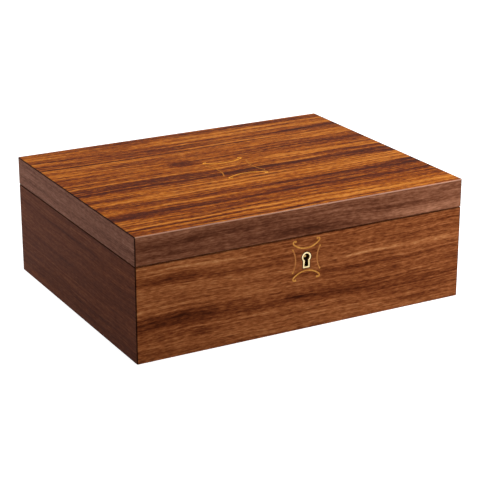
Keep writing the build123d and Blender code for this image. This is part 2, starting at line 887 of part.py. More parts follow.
with BuildPart() as lock_bolt:
    bolt_depth = lock_cap_depth - lock_cap_wall - 2 * bolt_side_clearance
    with Locations((bolt_x, bolt_y, bolt_bottom)):
        Box(bolt_length, bolt_depth, bolt_height, align=(Align.MIN, Align.CENTER, Align.MIN))
    with Locations((bolt_x + bolt_length, bolt_y, tongue_bottom)):
        Box(
            bolt_tongue_length,
            bolt_tongue_thickness,
            bolt_tongue_height,
            align=(Align.MIN, Align.CENTER, Align.MIN),
        )
    with Locations((bolt_x + bolt_notch_x, bolt_y, bolt_bottom)):
        Box(bolt_notch_width, 2 * bolt_depth, 2 * bolt_notch_depth, mode=Mode.SUBTRACT)
    chamfer(lock_bolt.faces().sort_by(Axis.X)[-1].edges().filter_by(Axis.Z), bolt_tongue_chamfer)
finish(lock_bolt, "lock_bolt")

with BuildPart() as lock_spring:
    spring_base = bolt_bottom + bolt_height + spring_strip_thickness / 2 + guide_clearance
    with BuildSketch(Plane.XZ.offset(-bolt_y + bolt_tongue_thickness)):
        with BuildLine():
            ThreePointArc(
                (bolt_x, spring_base + spring_strip_rise),
                (bolt_x + bolt_length / 2, spring_base),
                (bolt_x + bolt_length, spring_base + spring_strip_rise),
            )
        trace(line_width=spring_strip_thickness)
    extrude(amount=-2 * bolt_tongue_thickness)
finish(lock_spring, "lock_spring")

# Link plate in the lid with the staple that drops into the lock
with BuildPart() as lock_link_plate:
    with Locations((0, selvage_y, lid_bottom + selvage_thickness / 2)):
        Box(link_plate_width, selvage_depth, selvage_thickness)
    with Locations((staple_x, bolt_y, lid_bottom)):
        Box(staple_thickness, staple_width, staple_length, align=(Align.CENTER, Align.CENTER, Align.MAX))
    with Locations((staple_x, bolt_y, tongue_bottom - staple_window_clearance)):
        Box(
            2 * staple_thickness,
            staple_width - 2 * staple_side,
            bolt_tongue_height + 2 * staple_window_clearance,
            align=(Align.CENTER, Align.CENTER, Align.MIN),
            mode=Mode.SUBTRACT,
        )
    lower_edges = lock_link_plate.edges().group_by(Axis.Z)[0].filter_by(Axis.X)
    fillet(lower_edges, staple_side)
    with Locations(*link_screws):
        add(blank_screw, mode=Mode.SUBTRACT)
finish(lock_link_plate, "lock_link_plate")

# Hinges: knuckles take turns along one pin, and two lips stop the lid when it is open
segment_length = (hinge_length - (knuckle_count - 1) * knuckle_gap) / knuckle_count
segment_starts = [
    -hinge_length / 2 + index * (segment_length + knuckle_gap) for index in range(knuckle_count)
]
lip_base = knuckle_radius + stop_lip_clearance
lip_half_angle = math.degrees(math.asin((stop_lip_thickness + stop_lip_clearance) / 2 / lip_base))
lip_angle = lid_opening_angle / 2 + lip_half_angle


def hinge_leaf(leaf_bottom, starts, lip_turn):
    """Leaf, knuckles and stop lip of one side of a hinge, drawn round x = 0."""
    with BuildPart() as leaf:
        with Locations((0, back_y - hinge_leaf_width, leaf_bottom)):
            Box(
                hinge_length,
                hinge_leaf_width - knuckle_radius - knuckle_gap,
                hinge_leaf_thickness,
                align=(Align.CENTER, Align.MIN, Align.MIN),
            )
        for start in starts:
            with Locations((start, back_y - hinge_leaf_width, leaf_bottom)):
                Box(segment_length, hinge_leaf_width, hinge_leaf_thickness, align=(Align.MIN,) * 3)
            with Locations(Plane((start, back_y, hinge_axis_z), z_dir=(1, 0, 0))):
                Cylinder(knuckle_radius, segment_length, align=(Align.CENTER, Align.CENTER, Align.MIN))
        hinge_plane = Plane((0, back_y, hinge_axis_z), x_dir=(1, 0, 0), z_dir=(0, 0, 1))
        with Locations(hinge_plane.rotated((lip_turn, 0, 0))):
            with Locations((0, lip_base, 0)):
                Box(
                    hinge_length,
                    stop_lip_height,
                    stop_lip_thickness,
                    align=(Align.CENTER, Align.MIN, Align.CENTER),
                )
            for start in starts:
                with Locations((start, knuckle_radius / 2, 0)):
                    Box(
                        segment_length,
                        knuckle_radius / 2 + stop_lip_height,
                        stop_lip_thickness,
                        align=(Align.MIN, Align.MIN, Align.CENTER),
                    )
        with Locations(Plane((0, back_y, hinge_axis_z), z_dir=(1, 0, 0))):
            Cylinder(hinge_pin_radius + hinge_pin_clearance, 2 * hinge_length, mode=Mode.SUBTRACT)
    return leaf.part


case_leaf = hinge_leaf(case_height - hinge_leaf_thickness, segment_starts[0::2], -lip_angle)
lid_leaf = hinge_leaf(lid_bottom, segment_starts[1::2], lip_angle)

with BuildPart() as hinge_case_leaves:
    with Locations((-hinge_x, 0, 0), (hinge_x, 0, 0)):
        add(case_leaf)
    with Locations(*case_leaf_screws):
        add(blank_screw, mode=Mode.SUBTRACT)
finish(hinge_case_leaves, "hinge_case_leaves")

with BuildPart() as hinge_lid_leaves:
    with Locations((-hinge_x, 0, 0), (hinge_x, 0, 0)):
        add(lid_leaf)
    with Locations(*lid_leaf_screws):
        add(blank_screw, mode=Mode.SUBTRACT)
finish(hinge_lid_leaves, "hinge_lid_leaves")

with BuildPart() as hinge_pins:
    for side in (-1, 1):
        with Locations(Plane((side * hinge_x, back_y, hinge_axis_z), z_dir=(1, 0, 0))):
            Cylinder(hinge_pin_radius, hinge_length)
        for end in (-1, 1):
            head_x = side * hinge_x + end * (hinge_length + hinge_pin_head_length) / 2
            with Locations(Plane((head_x, back_y, hinge_axis_z), z_dir=(1, 0, 0))):
                Cylinder(hinge_pin_head_radius, hinge_pin_head_length)
finish(hinge_pins, "hinge_pins")

with BuildPart() as case_screws:
    with Locations(*case_leaf_screws, *selvage_screws, *plate_screws):
        add(brass_screw)
finish(case_screws, "case_screws")

with BuildPart() as lid_screws:
    with Locations(*lid_leaf_screws, *link_screws):
        add(brass_screw)
finish(lid_screws, "lid_screws")

# Lid
with BuildPart() as lid_front_rail:
    add(lid_rail("front"))
    with Locations((0, selvage_y, lid_bottom + selvage_thickness / 2)):
        Box(link_plate_width, selvage_depth, selvage_thickness, mode=Mode.SUBTRACT)
    with Locations(*link_screws):
        add(blank_screw, mode=Mode.SUBTRACT)
finish(lid_front_rail, "lid_front_rail")

with BuildPart() as lid_back_rail:
    add(lid_rail("back"))
    add(hinge_space(lid_bottom, lid_bottom + hinge_leaf_thickness), mode=Mode.SUBTRACT)
    with Locations(*lid_leaf_screws):
        add(blank_screw, mode=Mode.SUBTRACT)
finish(lid_back_rail, "lid_back_rail")

with BuildPart() as lid_left_rail:
    add(lid_rail("left"))
finish(lid_left_rail, "lid_left_rail")

with BuildPart() as lid_right_rail:
    add(lid_rail("right"))
finish(lid_right_rail, "lid_right_rail")

with BuildPart() as lid_panel:
    with BuildSketch(Plane.XY.offset(panel_bottom)):
        Rectangle(inner_width, inner_depth)
    extrude(amount=lid_panel_thickness)
finish(lid_panel, "lid_panel")

with BuildPart() as top_veneer:
    with BuildSketch(Plane.XY.offset(lid_wood_top)):
        RectangleRounded(case_width, case_depth, corner_radius)
    extrude(amount=veneer_thickness)
    fillet(top_veneer.edges().group_by(Axis.Z)[-1], arris)
    extrude(
        lid_strings(string_width + 2 * string_clearance, string_dot_radius + string_clearance),
        amount=-string_depth,
        mode=Mode.SUBTRACT,
    )
finish(top_veneer, "top_veneer")

with BuildPart() as lid_inlay:
    extrude(lid_strings(string_width, string_dot_radius), amount=-string_depth)
finish(lid_inlay, "lid_inlay")

with BuildPart() as mirror_glass:
    with BuildSketch(Plane.XY.offset(panel_bottom)):
        Rectangle(
            inner_width - 2 * (bead_width - bead_lip + mirror_edge_clearance),
            inner_depth - 2 * (bead_width - bead_lip + mirror_edge_clearance),
        )
    extrude(amount=-mirror_thickness)
finish(mirror_glass, "mirror")


def frame_bead(side):
    """Mitred bead with a rebate that laps the mirror's edge."""
    with BuildPart() as bead:
        extrude(bead_outline(side, panel_bottom, bead_width), amount=-bead_height)
        inner_low = bead.edges().group_by(Axis.Z)[0]
        inner_edge = inner_low.filter_by(lambda edge: is_inner_bead_edge(edge.center()))
        fillet(inner_edge, bead_rounding)
        with BuildSketch(Plane.XY.offset(panel_bottom)):
            Rectangle(
                inner_width - 2 * (bead_width - bead_lip),
                inner_depth - 2 * (bead_width - bead_lip),
            )
        extrude(amount=-mirror_thickness, mode=Mode.SUBTRACT)
    return bead.part


def is_inner_bead_edge(middle):
    """True for the bead's edge beside the mirror, not its outer or mitred edges."""
    near_x = abs(abs(middle.X) - (inner_width / 2 - bead_width)) < edge_tolerance
    near_y = abs(abs(middle.Y) - (inner_depth / 2 - bead_width)) < edge_tolerance
    return near_x or near_y


mirror_frame = Compound(children=[frame_bead(side).solid() for side in ("front", "back", "left", "right")])
mirror_frame.label = "mirror_frame"
export_step(mirror_frame, "parts/mirror_frame.step")

# Bedplate of the movement, cast with four feet and a wall under the comb
comb_top = cylinder_z + comb_tooth_thickness / 2
comb_bottom = comb_top - comb_thickness
comb_tip_y = movement_y - cylinder_radius - comb_tip_gap
comb_back_y = comb_tip_y - comb_tooth_length
comb_width = cylinder_length - 2 * comb_side_inset
comb_center_x = cylinder_left + cylinder_length / 2
comb_screw_points = [
    (comb_center_x + side * (comb_width / 2 - comb_screw_inset), comb_back_y - comb_base_width / 2)
    for side in (-1, 1)
]
left_foot_x = left_bracket_x + bracket_thickness
bracket_screw_points = [
    (left_foot_x + bracket_foot_length / 2, movement_y),
    (right_bracket_x - bracket_foot_length / 2, movement_y),
]
frame_right_outer = frame_right_x + frame_sheet
frame_screw_points = [
    (frame_left_x + frame_screw_left_inset, frame_back_y - frame_screw_back_inset),
    (frame_right_x - frame_screw_right_inset, frame_back_y - frame_screw_front_inset),
]

with BuildPart() as bedplate:
    with BuildSketch(Plane.XY.offset(bed_bottom)):
        with Locations((bed_center_x, movement_y)):
            RectangleRounded(bedplate_length, bedplate_width, bedplate_corner)
    extrude(amount=bedplate_thickness)
    with BuildSketch(Plane.XY.offset(floor_z)):
        with Locations(*foot_points):
            Circle(foot_radius)
    extrude(amount=foot_height)
    with BuildSketch(Plane.XY.offset(bed_top)):
        with Locations((comb_center_x, comb_back_y - comb_base_width / 2)):
            Rectangle(comb_width, comb_base_width)
    extrude(amount=comb_bottom - bed_top)
    with BuildSketch(Plane.XY.offset(floor_z)):
        with Locations((movement_x, movement_y)):
            Circle(arbor_radius + arbor_clearance)
        with Locations(*foot_points):
            Circle(bedplate_screw_radius)
    extrude(amount=foot_height + bedplate_thickness, mode=Mode.SUBTRACT)
    with Locations(*[Plane((x, y, comb_bottom)) for x, y in comb_screw_points]):
        Cylinder(
            movement_screw_radius,
            movement_screw_length - comb_thickness,
            align=(Align.CENTER, Align.CENTER, Align.MAX),
            mode=Mode.SUBTRACT,
        )
    with Locations(*[Plane((x, y, bed_top)) for x, y in bracket_screw_points + frame_screw_points]):
        Cylinder(
            movement_screw_radius,
            bedplate_thickness,
            align=(Align.CENTER, Align.CENTER, Align.MAX),
            mode=Mode.SUBTRACT,
        )
finish(bedplate, "bedplate")

# Spring housing and the coiled mainspring inside it
with BuildPart() as spring_housing:
    with Locations((movement_x, movement_y, bed_top)):
        Cylinder(housing_radius, housing_height, align=(Align.CENTER, Align.CENTER, Align.MIN))
    fillet(spring_housing.edges().group_by(Axis.Z)[-1], housing_wall / 2)
    with Locations((movement_x, movement_y, bed_top + housing_wall)):
        Cylinder(
            housing_radius - housing_wall,
            housing_height - 2 * housing_wall,
            align=(Align.CENTER, Align.CENTER, Align.MIN),
            mode=Mode.SUBTRACT,
        )
    with Locations((movement_x, movement_y, bed_top)):
        Cylinder(arbor_radius + arbor_clearance, 4 * housing_height, mode=Mode.SUBTRACT)
finish(spring_housing, "spring_housing")

with BuildPart() as mainspring:
    spring_floor = bed_top + housing_wall + mainspring_clearance
    with BuildSketch(Plane.XY.offset(spring_floor)):
        with BuildLine():
            for index in range(mainspring_half_turns):
                turn_radius = mainspring_first_radius + index * mainspring_pitch / 2
                turn_center = movement_x + (index % 2) * mainspring_pitch / 2
                CenterArc((turn_center, movement_y), turn_radius, 180 * (index % 2), 180)
        trace(line_width=mainspring_thickness)
    extrude(amount=housing_height - 2 * housing_wall - 2 * mainspring_clearance)
finish(mainspring, "mainspring")

# Winding arbor and key
arbor_step_z = base_recess + mainspring_clearance
arbor_top = crown_root_z + crown_dedendum
with BuildPart() as winding_arbor:
    with Locations((movement_x, movement_y, arbor_step_z)):
        Cylinder(arbor_radius, arbor_top - arbor_step_z, align=(Align.CENTER, Align.CENTER, Align.MIN))
    with Locations((movement_x, movement_y, key_floor_gap + key_cap)):
        Cylinder(
            key_thread_radius,
            arbor_step_z - key_floor_gap - key_cap,
            align=(Align.CENTER, Align.CENTER, Align.MIN),
        )
finish(winding_arbor, "winding_arbor")

with BuildPart() as winding_key:
    with Locations((movement_x, movement_y, key_floor_gap)):
        Cylinder(key_hub_radius, key_height, align=(Align.CENTER, Align.CENTER, Align.MIN))
    wing_z = key_floor_gap + key_wing_radius
    with BuildSketch(Plane.XZ.offset(-movement_y - key_wing_thickness / 2)):
        with Locations((movement_x, wing_z)):
            Rectangle(2 * key_wing_offset, key_wing_radius)
        with Locations((movement_x - key_wing_offset, wing_z), (movement_x + key_wing_offset, wing_z)):
            Circle(key_wing_radius)
            Circle(key_wing_hole_radius, mode=Mode.SUBTRACT)
    extrude(amount=key_wing_thickness)
    with Locations((movement_x, movement_y, key_floor_gap + key_cap)):
        Cylinder(
            key_thread_radius,
            key_height,
            align=(Align.CENTER, Align.CENTER, Align.MIN),
            mode=Mode.SUBTRACT,
        )
finish(winding_key, "winding_key")

# Crown wheel on the winding arbor
crown_pitch = math.pi * crown_module
flank_slope = math.tan(math.radians(crown_flank_angle))


def crown_tooth():
    """One tooth of the crown wheel, pointing along X from the wheel's centre."""
    half = crown_tooth_share * crown_pitch / 2
    root_half = half + crown_dedendum * flank_slope
    tip_half = half - crown_addendum * flank_slope
    inner_radius = crown_pitch_radius - crown_face_width / 2
    with BuildPart() as tooth:
        with BuildSketch(Plane((inner_radius, 0, crown_root_z), x_dir=(0, 1, 0), z_dir=(1, 0, 0))):
            Polygon(
                (-root_half, 0),
                (root_half, 0),
                (tip_half, crown_dedendum + crown_addendum),
                (-tip_half, crown_dedendum + crown_addendum),
            )
        extrude(amount=crown_face_width)
    return tooth.part


one_crown_tooth = crown_tooth()
with BuildPart() as crown_wheel:
    with Locations((movement_x, movement_y, crown_disc_bottom)):
        Cylinder(
            crown_pitch_radius + crown_face_width / 2 + crown_rim,
            crown_disc_thickness,
            align=(Align.CENTER, Align.CENTER, Align.MIN),
        )
        Cylinder(crown_hub_radius, 2 * crown_disc_thickness, align=(Align.CENTER, Align.CENTER, Align.MIN))
    with Locations((movement_x, movement_y, 0)):
        with PolarLocations(0, crown_teeth):
            add(one_crown_tooth)
    with Locations((movement_x, movement_y, crown_disc_bottom)):
        Cylinder(arbor_radius, 4 * crown_disc_thickness, mode=Mode.SUBTRACT)
finish(crown_wheel, "crown_wheel")


def gear_outline(teeth, module, addendum, dedendum, share, tip_share, root_share, turn):
    """Outline of a small clockwork wheel: straight-flanked teeth from root to tip."""
    pitch_radius = module * teeth / 2
    thickness = share * math.pi * module
    profile = (
        (pitch_radius - dedendum, -root_share),
        (pitch_radius, -1),
        (pitch_radius + addendum, -tip_share),
        (pitch_radius + addendum, tip_share),
        (pitch_radius, 1),
        (pitch_radius - dedendum, root_share),
    )
    points = []
    for index in range(teeth):
        center_angle = math.radians(turn) + 2 * math.pi * index / teeth
        for radius, factor in profile:
            angle = center_angle + factor * thickness / 2 / radius
            points.append((radius * math.cos(angle), radius * math.sin(angle)))
    return Polygon(*points)


def wheel_plane(x, y):
    """Plane square to the cylinder's axis, its local x pointing to the back."""
    return Plane((x, y, cylinder_z), x_dir=(0, 1, 0), z_dir=(1, 0, 0))


# Cylinder with its arbor, pinion and great wheel
with BuildPart() as cylinder_barrel:
    with Locations(Plane((cylinder_left, movement_y, cylinder_z), z_dir=(1, 0, 0))):
        Cylinder(cylinder_radius, cylinder_length, align=(Align.CENTER, Align.CENTER, Align.MIN))
        Cylinder(
            cylinder_radius - cylinder_wall,
            cylinder_length - cylinder_end,
            align=(Align.CENTER, Align.CENTER, Align.MIN),
            mode=Mode.SUBTRACT,
        )
        Cylinder(
            cylinder_radius - cylinder_wall,
            cylinder_end,
            align=(Align.CENTER, Align.CENTER, Align.MIN),
        )
        Cylinder(cylinder_arbor_radius, 4 * cylinder_length, mode=Mode.SUBTRACT)
finish(cylinder_barrel, "cylinder_barrel")

pinion_center_x = movement_x + crown_pitch_radius
arbor_left = pinion_center_x - pinion_width
arbor_right = right_bracket_x + bracket_thickness + cylinder_arbor_overhang
with BuildPart() as cylinder_arbor:
    with Locations(Plane((arbor_left, movement_y, cylinder_z), z_dir=(1, 0, 0))):
        Cylinder(
            cylinder_arbor_radius,
            arbor_right - arbor_left,
            align=(Align.CENTER, Align.CENTER, Align.MIN),
        )
    with BuildSketch(wheel_plane(pinion_center_x - pinion_width / 2, movement_y)):
        add(
            gear_outline(
                pinion_leaves,
                crown_module,
                pinion_addendum,
                pinion_dedendum,
                pinion_tooth_share,
                pinion_tip_share,
                pinion_root_share,
                -90 + 180 / pinion_leaves,
            )
        )
    extrude(amount=pinion_width)
finish(cylinder_arbor, "cylinder_arbor")

with BuildPart() as great_wheel:
    with BuildSketch(wheel_plane(great_wheel_x, movement_y)):
        add(
            gear_outline(
                great_wheel_teeth,
                great_wheel_module,
                great_wheel_addendum,
                great_wheel_dedendum,
                great_wheel_tooth_share,
                great_wheel_tip_share,
                wheel_root_share,
                0,
            )
        )
        Circle(cylinder_arbor_radius, mode=Mode.SUBTRACT)
    extrude(amount=great_wheel_thickness)
finish(great_wheel, "great_wheel")


def cylinder_bracket(plate_x, foot_direction):
    """Upright bearing plate with a foot screwed to the bedplate."""
    with BuildPart() as bracket:
        with Locations((plate_x, movement_y, bed_top)):
            Box(
                bracket_thickness,
                bracket_width,
                cylinder_z + bracket_rise - bed_top,
                align=(Align.MIN, Align.CENTER, Align.MIN),
            )
        foot_x = plate_x + bracket_thickness if foot_direction > 0 else plate_x
        with Locations((foot_x, movement_y, bed_top)):
            Box(
                bracket_foot_length,
                bracket_width,
                bracket_thickness,
                align=(Align.MIN if foot_direction > 0 else Align.MAX, Align.CENTER, Align.MIN),
            )
        top_edges = bracket.edges().group_by(Axis.Z)[-1].filter_by(Axis.X)
        fillet(top_edges, bracket_rounding)
        with Locations(Plane((plate_x, movement_y, cylinder_z), z_dir=(1, 0, 0))):
            Cylinder(cylinder_arbor_radius + arbor_clearance, 4 * bracket_thickness, mode=Mode.SUBTRACT)
        with Locations(*[(x, y, bed_top) for x, y in bracket_screw_points]):
            Cylinder(movement_screw_radius, 4 * bracket_thickness, mode=Mode.SUBTRACT)
    return bracket.part


with BuildPart() as cylinder_brackets:
    add(cylinder_bracket(left_bracket_x, 1))
    add(cylinder_bracket(right_bracket_x, -1))
finish(cylinder_brackets, "cylinder_brackets")

# Steel comb
with BuildPart() as comb:
    with Locations((comb_center_x, comb_back_y, comb_bottom)):
        Box(comb_width, comb_base_width, comb_thickness, align=(Align.CENTER, Align.MAX, Align.MIN))
    tooth_pitch = comb_width / comb_tooth_count
    with Locations((comb_center_x, comb_back_y, comb_top)):
        with GridLocations(tooth_pitch, 1, comb_tooth_count, 1):
            Box(
                tooth_pitch - comb_tooth_gap,
                2 * comb_tooth_length,
                comb_tooth_thickness,
                align=(Align.CENTER, Align.CENTER, Align.MAX),
            )
    with Locations(*[(x, y, comb_top) for x, y in comb_screw_points]):
        Cylinder(movement_screw_radius, 4 * comb_thickness, mode=Mode.SUBTRACT)
finish(comb, "comb")

# Governor: frame, wheel arbor, worm and fan
with BuildPart() as governor_frame:
    frame_length = frame_right_outer - frame_left_x
    frame_depth = frame_back_y - frame_front_y
    with Locations((frame_left_x, frame_front_y, bed_top)):
        Box(frame_length, frame_depth, frame_sheet, align=(Align.MIN,) * 3)
    cheek_height = frame_bridge_z + frame_sheet - bed_top
    with Locations((frame_left_x, frame_front_y, bed_top), (frame_right_x, frame_front_y, bed_top)):
        Box(frame_sheet, frame_depth, cheek_height, align=(Align.MIN,) * 3)
    with Locations((frame_left_x, worm_y, frame_bridge_z)):
        Box(frame_length, frame_bridge_width, frame_sheet, align=(Align.MIN, Align.CENTER, Align.MIN))
    guide_back_y = plunger_y + plunger_guide_width / 2
    with Locations((frame_left_x, frame_back_y, plunger_guide_bottom)):
        Box(frame_sheet, guide_back_y - frame_back_y, plunger_guide_height, align=(Align.MIN,) * 3)
    with Locations((plunger_x, plunger_y, plunger_guide_bottom)):
        Box(
            plunger_guide_width,
            plunger_guide_width,
            plunger_guide_height,
            align=(Align.CENTER, Align.CENTER, Align.MIN),
        )
        Cylinder(plunger_radius + arbor_clearance, 4 * plunger_guide_height, mode=Mode.SUBTRACT)
    with Locations((worm_wheel_x, worm_y, bed_top)):
        Cylinder(governor_arbor_radius + governor_arbor_clearance, through_all, mode=Mode.SUBTRACT)
    with Locations(Plane((worm_wheel_x, governor_y, cylinder_z), z_dir=(1, 0, 0))):
        Cylinder(governor_arbor_radius + governor_arbor_clearance, 2 * frame_length, mode=Mode.SUBTRACT)
    with Locations(*[(x, y, bed_top) for x, y in frame_screw_points]):
        Cylinder(movement_screw_radius, 4 * frame_sheet, mode=Mode.SUBTRACT)
finish(governor_frame, "governor_frame")

great_wheel_center_x = great_wheel_x + great_wheel_thickness / 2
with BuildPart() as governor_wheel:
    arbor_start = frame_left_x - governor_arbor_overhang
    arbor_end = frame_right_outer + governor_arbor_overhang
    with Locations(Plane((arbor_start, governor_y, cylinder_z), z_dir=(1, 0, 0))):
        Cylinder(
            governor_arbor_radius,
            arbor_end - arbor_start,
            align=(Align.CENTER, Align.CENTER, Align.MIN),
        )
    with BuildSketch(wheel_plane(great_wheel_center_x - governor_pinion_width / 2, governor_y)):
        add(
            gear_outline(
                governor_pinion_leaves,
                great_wheel_module,
                governor_pinion_addendum,
                governor_pinion_dedendum,
                governor_pinion_tooth_share,
                governor_pinion_tip_share,
                governor_pinion_root_share,
                180 + 180 / governor_pinion_leaves,
            )
        )
    extrude(amount=governor_pinion_width)
    with BuildSketch(wheel_plane(worm_wheel_x - worm_wheel_width / 2, governor_y)):
        add(
            gear_outline(
                worm_wheel_teeth,
                worm_module,
                worm_addendum,
                worm_wheel_dedendum,
                worm_wheel_tooth_share,
                worm_wheel_tip_share,
                wheel_root_share,
                0,
            )
        )
    extrude(amount=worm_wheel_width)
finish(governor_wheel, "governor_wheel")

worm_length = worm_turns * worm_lead
with BuildPart() as worm_spindle:
    spindle_bottom = bed_top + spindle_floor_gap
    with Locations((0, 0, spindle_bottom)):
        Cylinder(
            governor_arbor_radius,
            spindle_top - spindle_bottom,
            align=(Align.CENTER, Align.CENTER, Align.MIN),
        )
    worm_start_z = cylinder_z - worm_length / 2
    with Locations((0, 0, worm_start_z - worm_pitch / 2)):
        Cylinder(
            worm_root_radius,
            worm_length + worm_pitch,
            align=(Align.CENTER, Align.CENTER, Align.MIN),
        )
    for start in range(worm_starts):
        turn = 360 * start / worm_starts
        with BuildLine(Plane((0, 0, worm_start_z)).rotated((0, 0, turn))):
            thread_line = Helix(worm_lead, worm_length, worm_root_radius)
        outward = (math.cos(math.radians(turn)), math.sin(math.radians(turn)), 0)
        with BuildSketch(Plane(thread_line @ 0, x_dir=outward, z_dir=thread_line % 0)):
            thread_height = worm_tip_radius - worm_root_radius
            half_root = worm_thread_root_share * worm_pitch / 2
            half_tip = worm_thread_tip_share * worm_pitch / 2
            Polygon(
                (-worm_thread_sink, -half_root),
                (thread_height, -half_tip),
                (thread_height, half_tip),
                (-worm_thread_sink, half_root),
            )
        sweep(path=thread_line, is_frenet=True)
worm_spindle.part = Pos(worm_wheel_x, worm_y, 0) * worm_spindle.part
finish(worm_spindle, "worm_spindle")

with BuildPart() as fan:
    with Locations((worm_wheel_x, worm_y, fan_bottom)):
        Cylinder(
            fan_hub_radius,
            fan_height,
            align=(Align.CENTER, Align.CENTER, Align.MIN),
        )
        Box(2 * fan_radius, fan_blade_thickness, fan_height, align=(Align.CENTER, Align.CENTER, Align.MIN))
    with Locations((worm_wheel_x, worm_y, collar_bottom)):
        Cylinder(fan_collar_radius, fan_collar_height, align=(Align.CENTER, Align.CENTER, Align.MIN))
    with Locations((worm_wheel_x, worm_y, fan_bottom)):
        Cylinder(governor_arbor_radius, through_all, mode=Mode.SUBTRACT)
finish(fan, "fan")

# Plunger that the closed lid holds down, with an arm that brakes the fan's collar
with BuildPart() as stop_plunger:
    with Locations((plunger_x, plunger_y, plunger_bottom)):
        Cylinder(plunger_radius, plunger_top - plunger_bottom, align=(Align.CENTER, Align.CENTER, Align.MIN))
    fillet(stop_plunger.edges().group_by(Axis.Z)[-1], plunger_rounding)
    arm_z = collar_bottom + fan_collar_height / 2
    reach_x = worm_wheel_x - plunger_x
    reach_y = worm_y - plunger_y
    reach = math.hypot(reach_x, reach_y)
    arm_length = reach - fan_collar_radius - plunger_arm_gap
    with Locations(Plane((plunger_x, plunger_y, arm_z), z_dir=(reach_x, reach_y, 0))):
        Cylinder(plunger_arm_radius, arm_length, align=(Align.CENTER, Align.CENTER, Align.MIN))
finish(stop_plunger, "stop_plunger")

# Screws of the movement: four long ones from below, the rest small
with BuildPart() as movement_screws:
    for x, y in foot_points:
        with Locations((x, y, base_recess)):
            Cylinder(
                bedplate_screw_head_radius,
                bedplate_screw_head_height,
                align=(Align.CENTER, Align.CENTER, Align.MAX),
            )
            Cylinder(
                bedplate_screw_radius,
                bed_top - base_recess,
                align=(Align.CENTER, Align.CENTER, Align.MIN),
            )
    with Locations(*[(x, y, comb_top) for x, y in comb_screw_points]):
        add(small_screw)
    with Locations(*[(x, y, bed_top + bracket_thickness) for x, y in bracket_screw_points]):
        add(small_screw)
    with Locations(*[(x, y, bed_top + frame_sheet) for x, y in frame_screw_points]):
        add(small_screw)
finish(movement_screws, "movement_screws")

# Clear cover over the movement on two ledges
bay_left = lined_left
bay_right = left_column[1]
bay_front = left_cross_y + half_divider
bay_back = lined_back
with BuildPart() as cover_ledges:
    ledge_depth = bay_back - bay_front
    with Locations((bay_left, bay_front, cover_bottom)):
        Box(ledge_width, ledge_depth, ledge_height, align=(Align.MIN, Align.MIN, Align.MAX))
    with Locations((bay_right, bay_front, cover_bottom)):
        Box(ledge_width, ledge_depth, ledge_height, align=(Align.MAX, Align.MIN, Align.MAX))
finish(cover_ledges, "cover_ledges")

with BuildPart() as music_cover:
    with BuildSketch(Plane.XY.offset(cover_bottom)):
        with Locations(((bay_left + bay_right) / 2, (bay_front + bay_back) / 2)):
            Rectangle(
                bay_right - bay_left - 2 * cover_clearance,
                bay_back - bay_front - 2 * cover_clearance,
            )
        with Locations((plunger_x, plunger_y)):
            Circle(cover_hole_radius, mode=Mode.SUBTRACT)
        with Locations(((bay_left + bay_right) / 2, bay_front)):
            Circle(cover_notch_radius, mode=Mode.SUBTRACT)
    extrude(amount=cover_thickness)
finish(music_cover, "music_cover")
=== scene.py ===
"""Looks of the musical jewelry box: finishes, pads, barrel pins, studio and camera. Metres."""
import math
import random
from collections import namedtuple

import bmesh
import bpy
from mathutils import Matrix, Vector, noise


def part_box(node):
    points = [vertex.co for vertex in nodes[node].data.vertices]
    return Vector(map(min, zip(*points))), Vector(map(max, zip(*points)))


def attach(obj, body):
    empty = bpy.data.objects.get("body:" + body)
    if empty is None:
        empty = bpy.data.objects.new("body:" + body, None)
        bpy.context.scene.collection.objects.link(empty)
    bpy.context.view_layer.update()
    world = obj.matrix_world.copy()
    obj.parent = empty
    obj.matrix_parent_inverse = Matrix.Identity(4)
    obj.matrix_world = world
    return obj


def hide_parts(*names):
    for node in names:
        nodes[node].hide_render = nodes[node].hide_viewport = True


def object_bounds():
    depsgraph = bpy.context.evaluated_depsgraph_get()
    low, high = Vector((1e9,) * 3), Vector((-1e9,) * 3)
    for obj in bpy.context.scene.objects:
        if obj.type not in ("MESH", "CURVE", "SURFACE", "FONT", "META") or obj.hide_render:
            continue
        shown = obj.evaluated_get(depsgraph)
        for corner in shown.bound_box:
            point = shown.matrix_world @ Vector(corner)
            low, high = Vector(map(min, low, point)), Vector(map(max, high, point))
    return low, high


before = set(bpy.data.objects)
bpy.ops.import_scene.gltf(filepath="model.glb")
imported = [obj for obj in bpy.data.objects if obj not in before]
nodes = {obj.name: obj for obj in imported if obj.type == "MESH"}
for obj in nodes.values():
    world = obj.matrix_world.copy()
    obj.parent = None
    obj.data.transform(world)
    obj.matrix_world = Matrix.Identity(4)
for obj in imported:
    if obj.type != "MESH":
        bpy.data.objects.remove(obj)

cad_low, cad_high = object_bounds()
mm = 0.001

# Where the camera stood, solved from the box's corners in the photograph
camera_azimuth = math.radians(-28.779)
camera_elevation = math.radians(19.768)
camera_place = (-0.59928, -1.09922, 0.48751)
camera_lens = 118.98

# Studio
floor_size = 9.0
floor_albedo = 0.6
floor_glow = 0.84
sky_light = 0.1

# Outer sizes that the finishes follow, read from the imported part
veneer_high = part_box("top_veneer")[1]
half_width = veneer_high.x
half_depth = veneer_high.y
seam_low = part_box("front_board")[1].z
seam_middle = (seam_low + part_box("lid_front_rail")[0].z) / 2
escutcheon_low, escutcheon_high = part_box("escutcheon")
keyhole_radius = 4.2 * mm        # round head of the escutcheon
skirt_half_width = 3.1 * mm      # its straight skirt below
keyhole_center_z = escutcheon_high.z - keyhole_radius
strings_low, strings_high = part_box("front_inlay")
front_strings_middle = (strings_low.z + strings_high.z) / 2
front_bars_from = 9.3 * mm       # from the middle of the strings, where their bars begin
lid_bars_from = 16.5 * mm

# Lacquer of all the veneered faces
wood_roughness = 0.36
wood_gloss = 0.006

Streak = namedtuple("Streak", "along across length width dark")


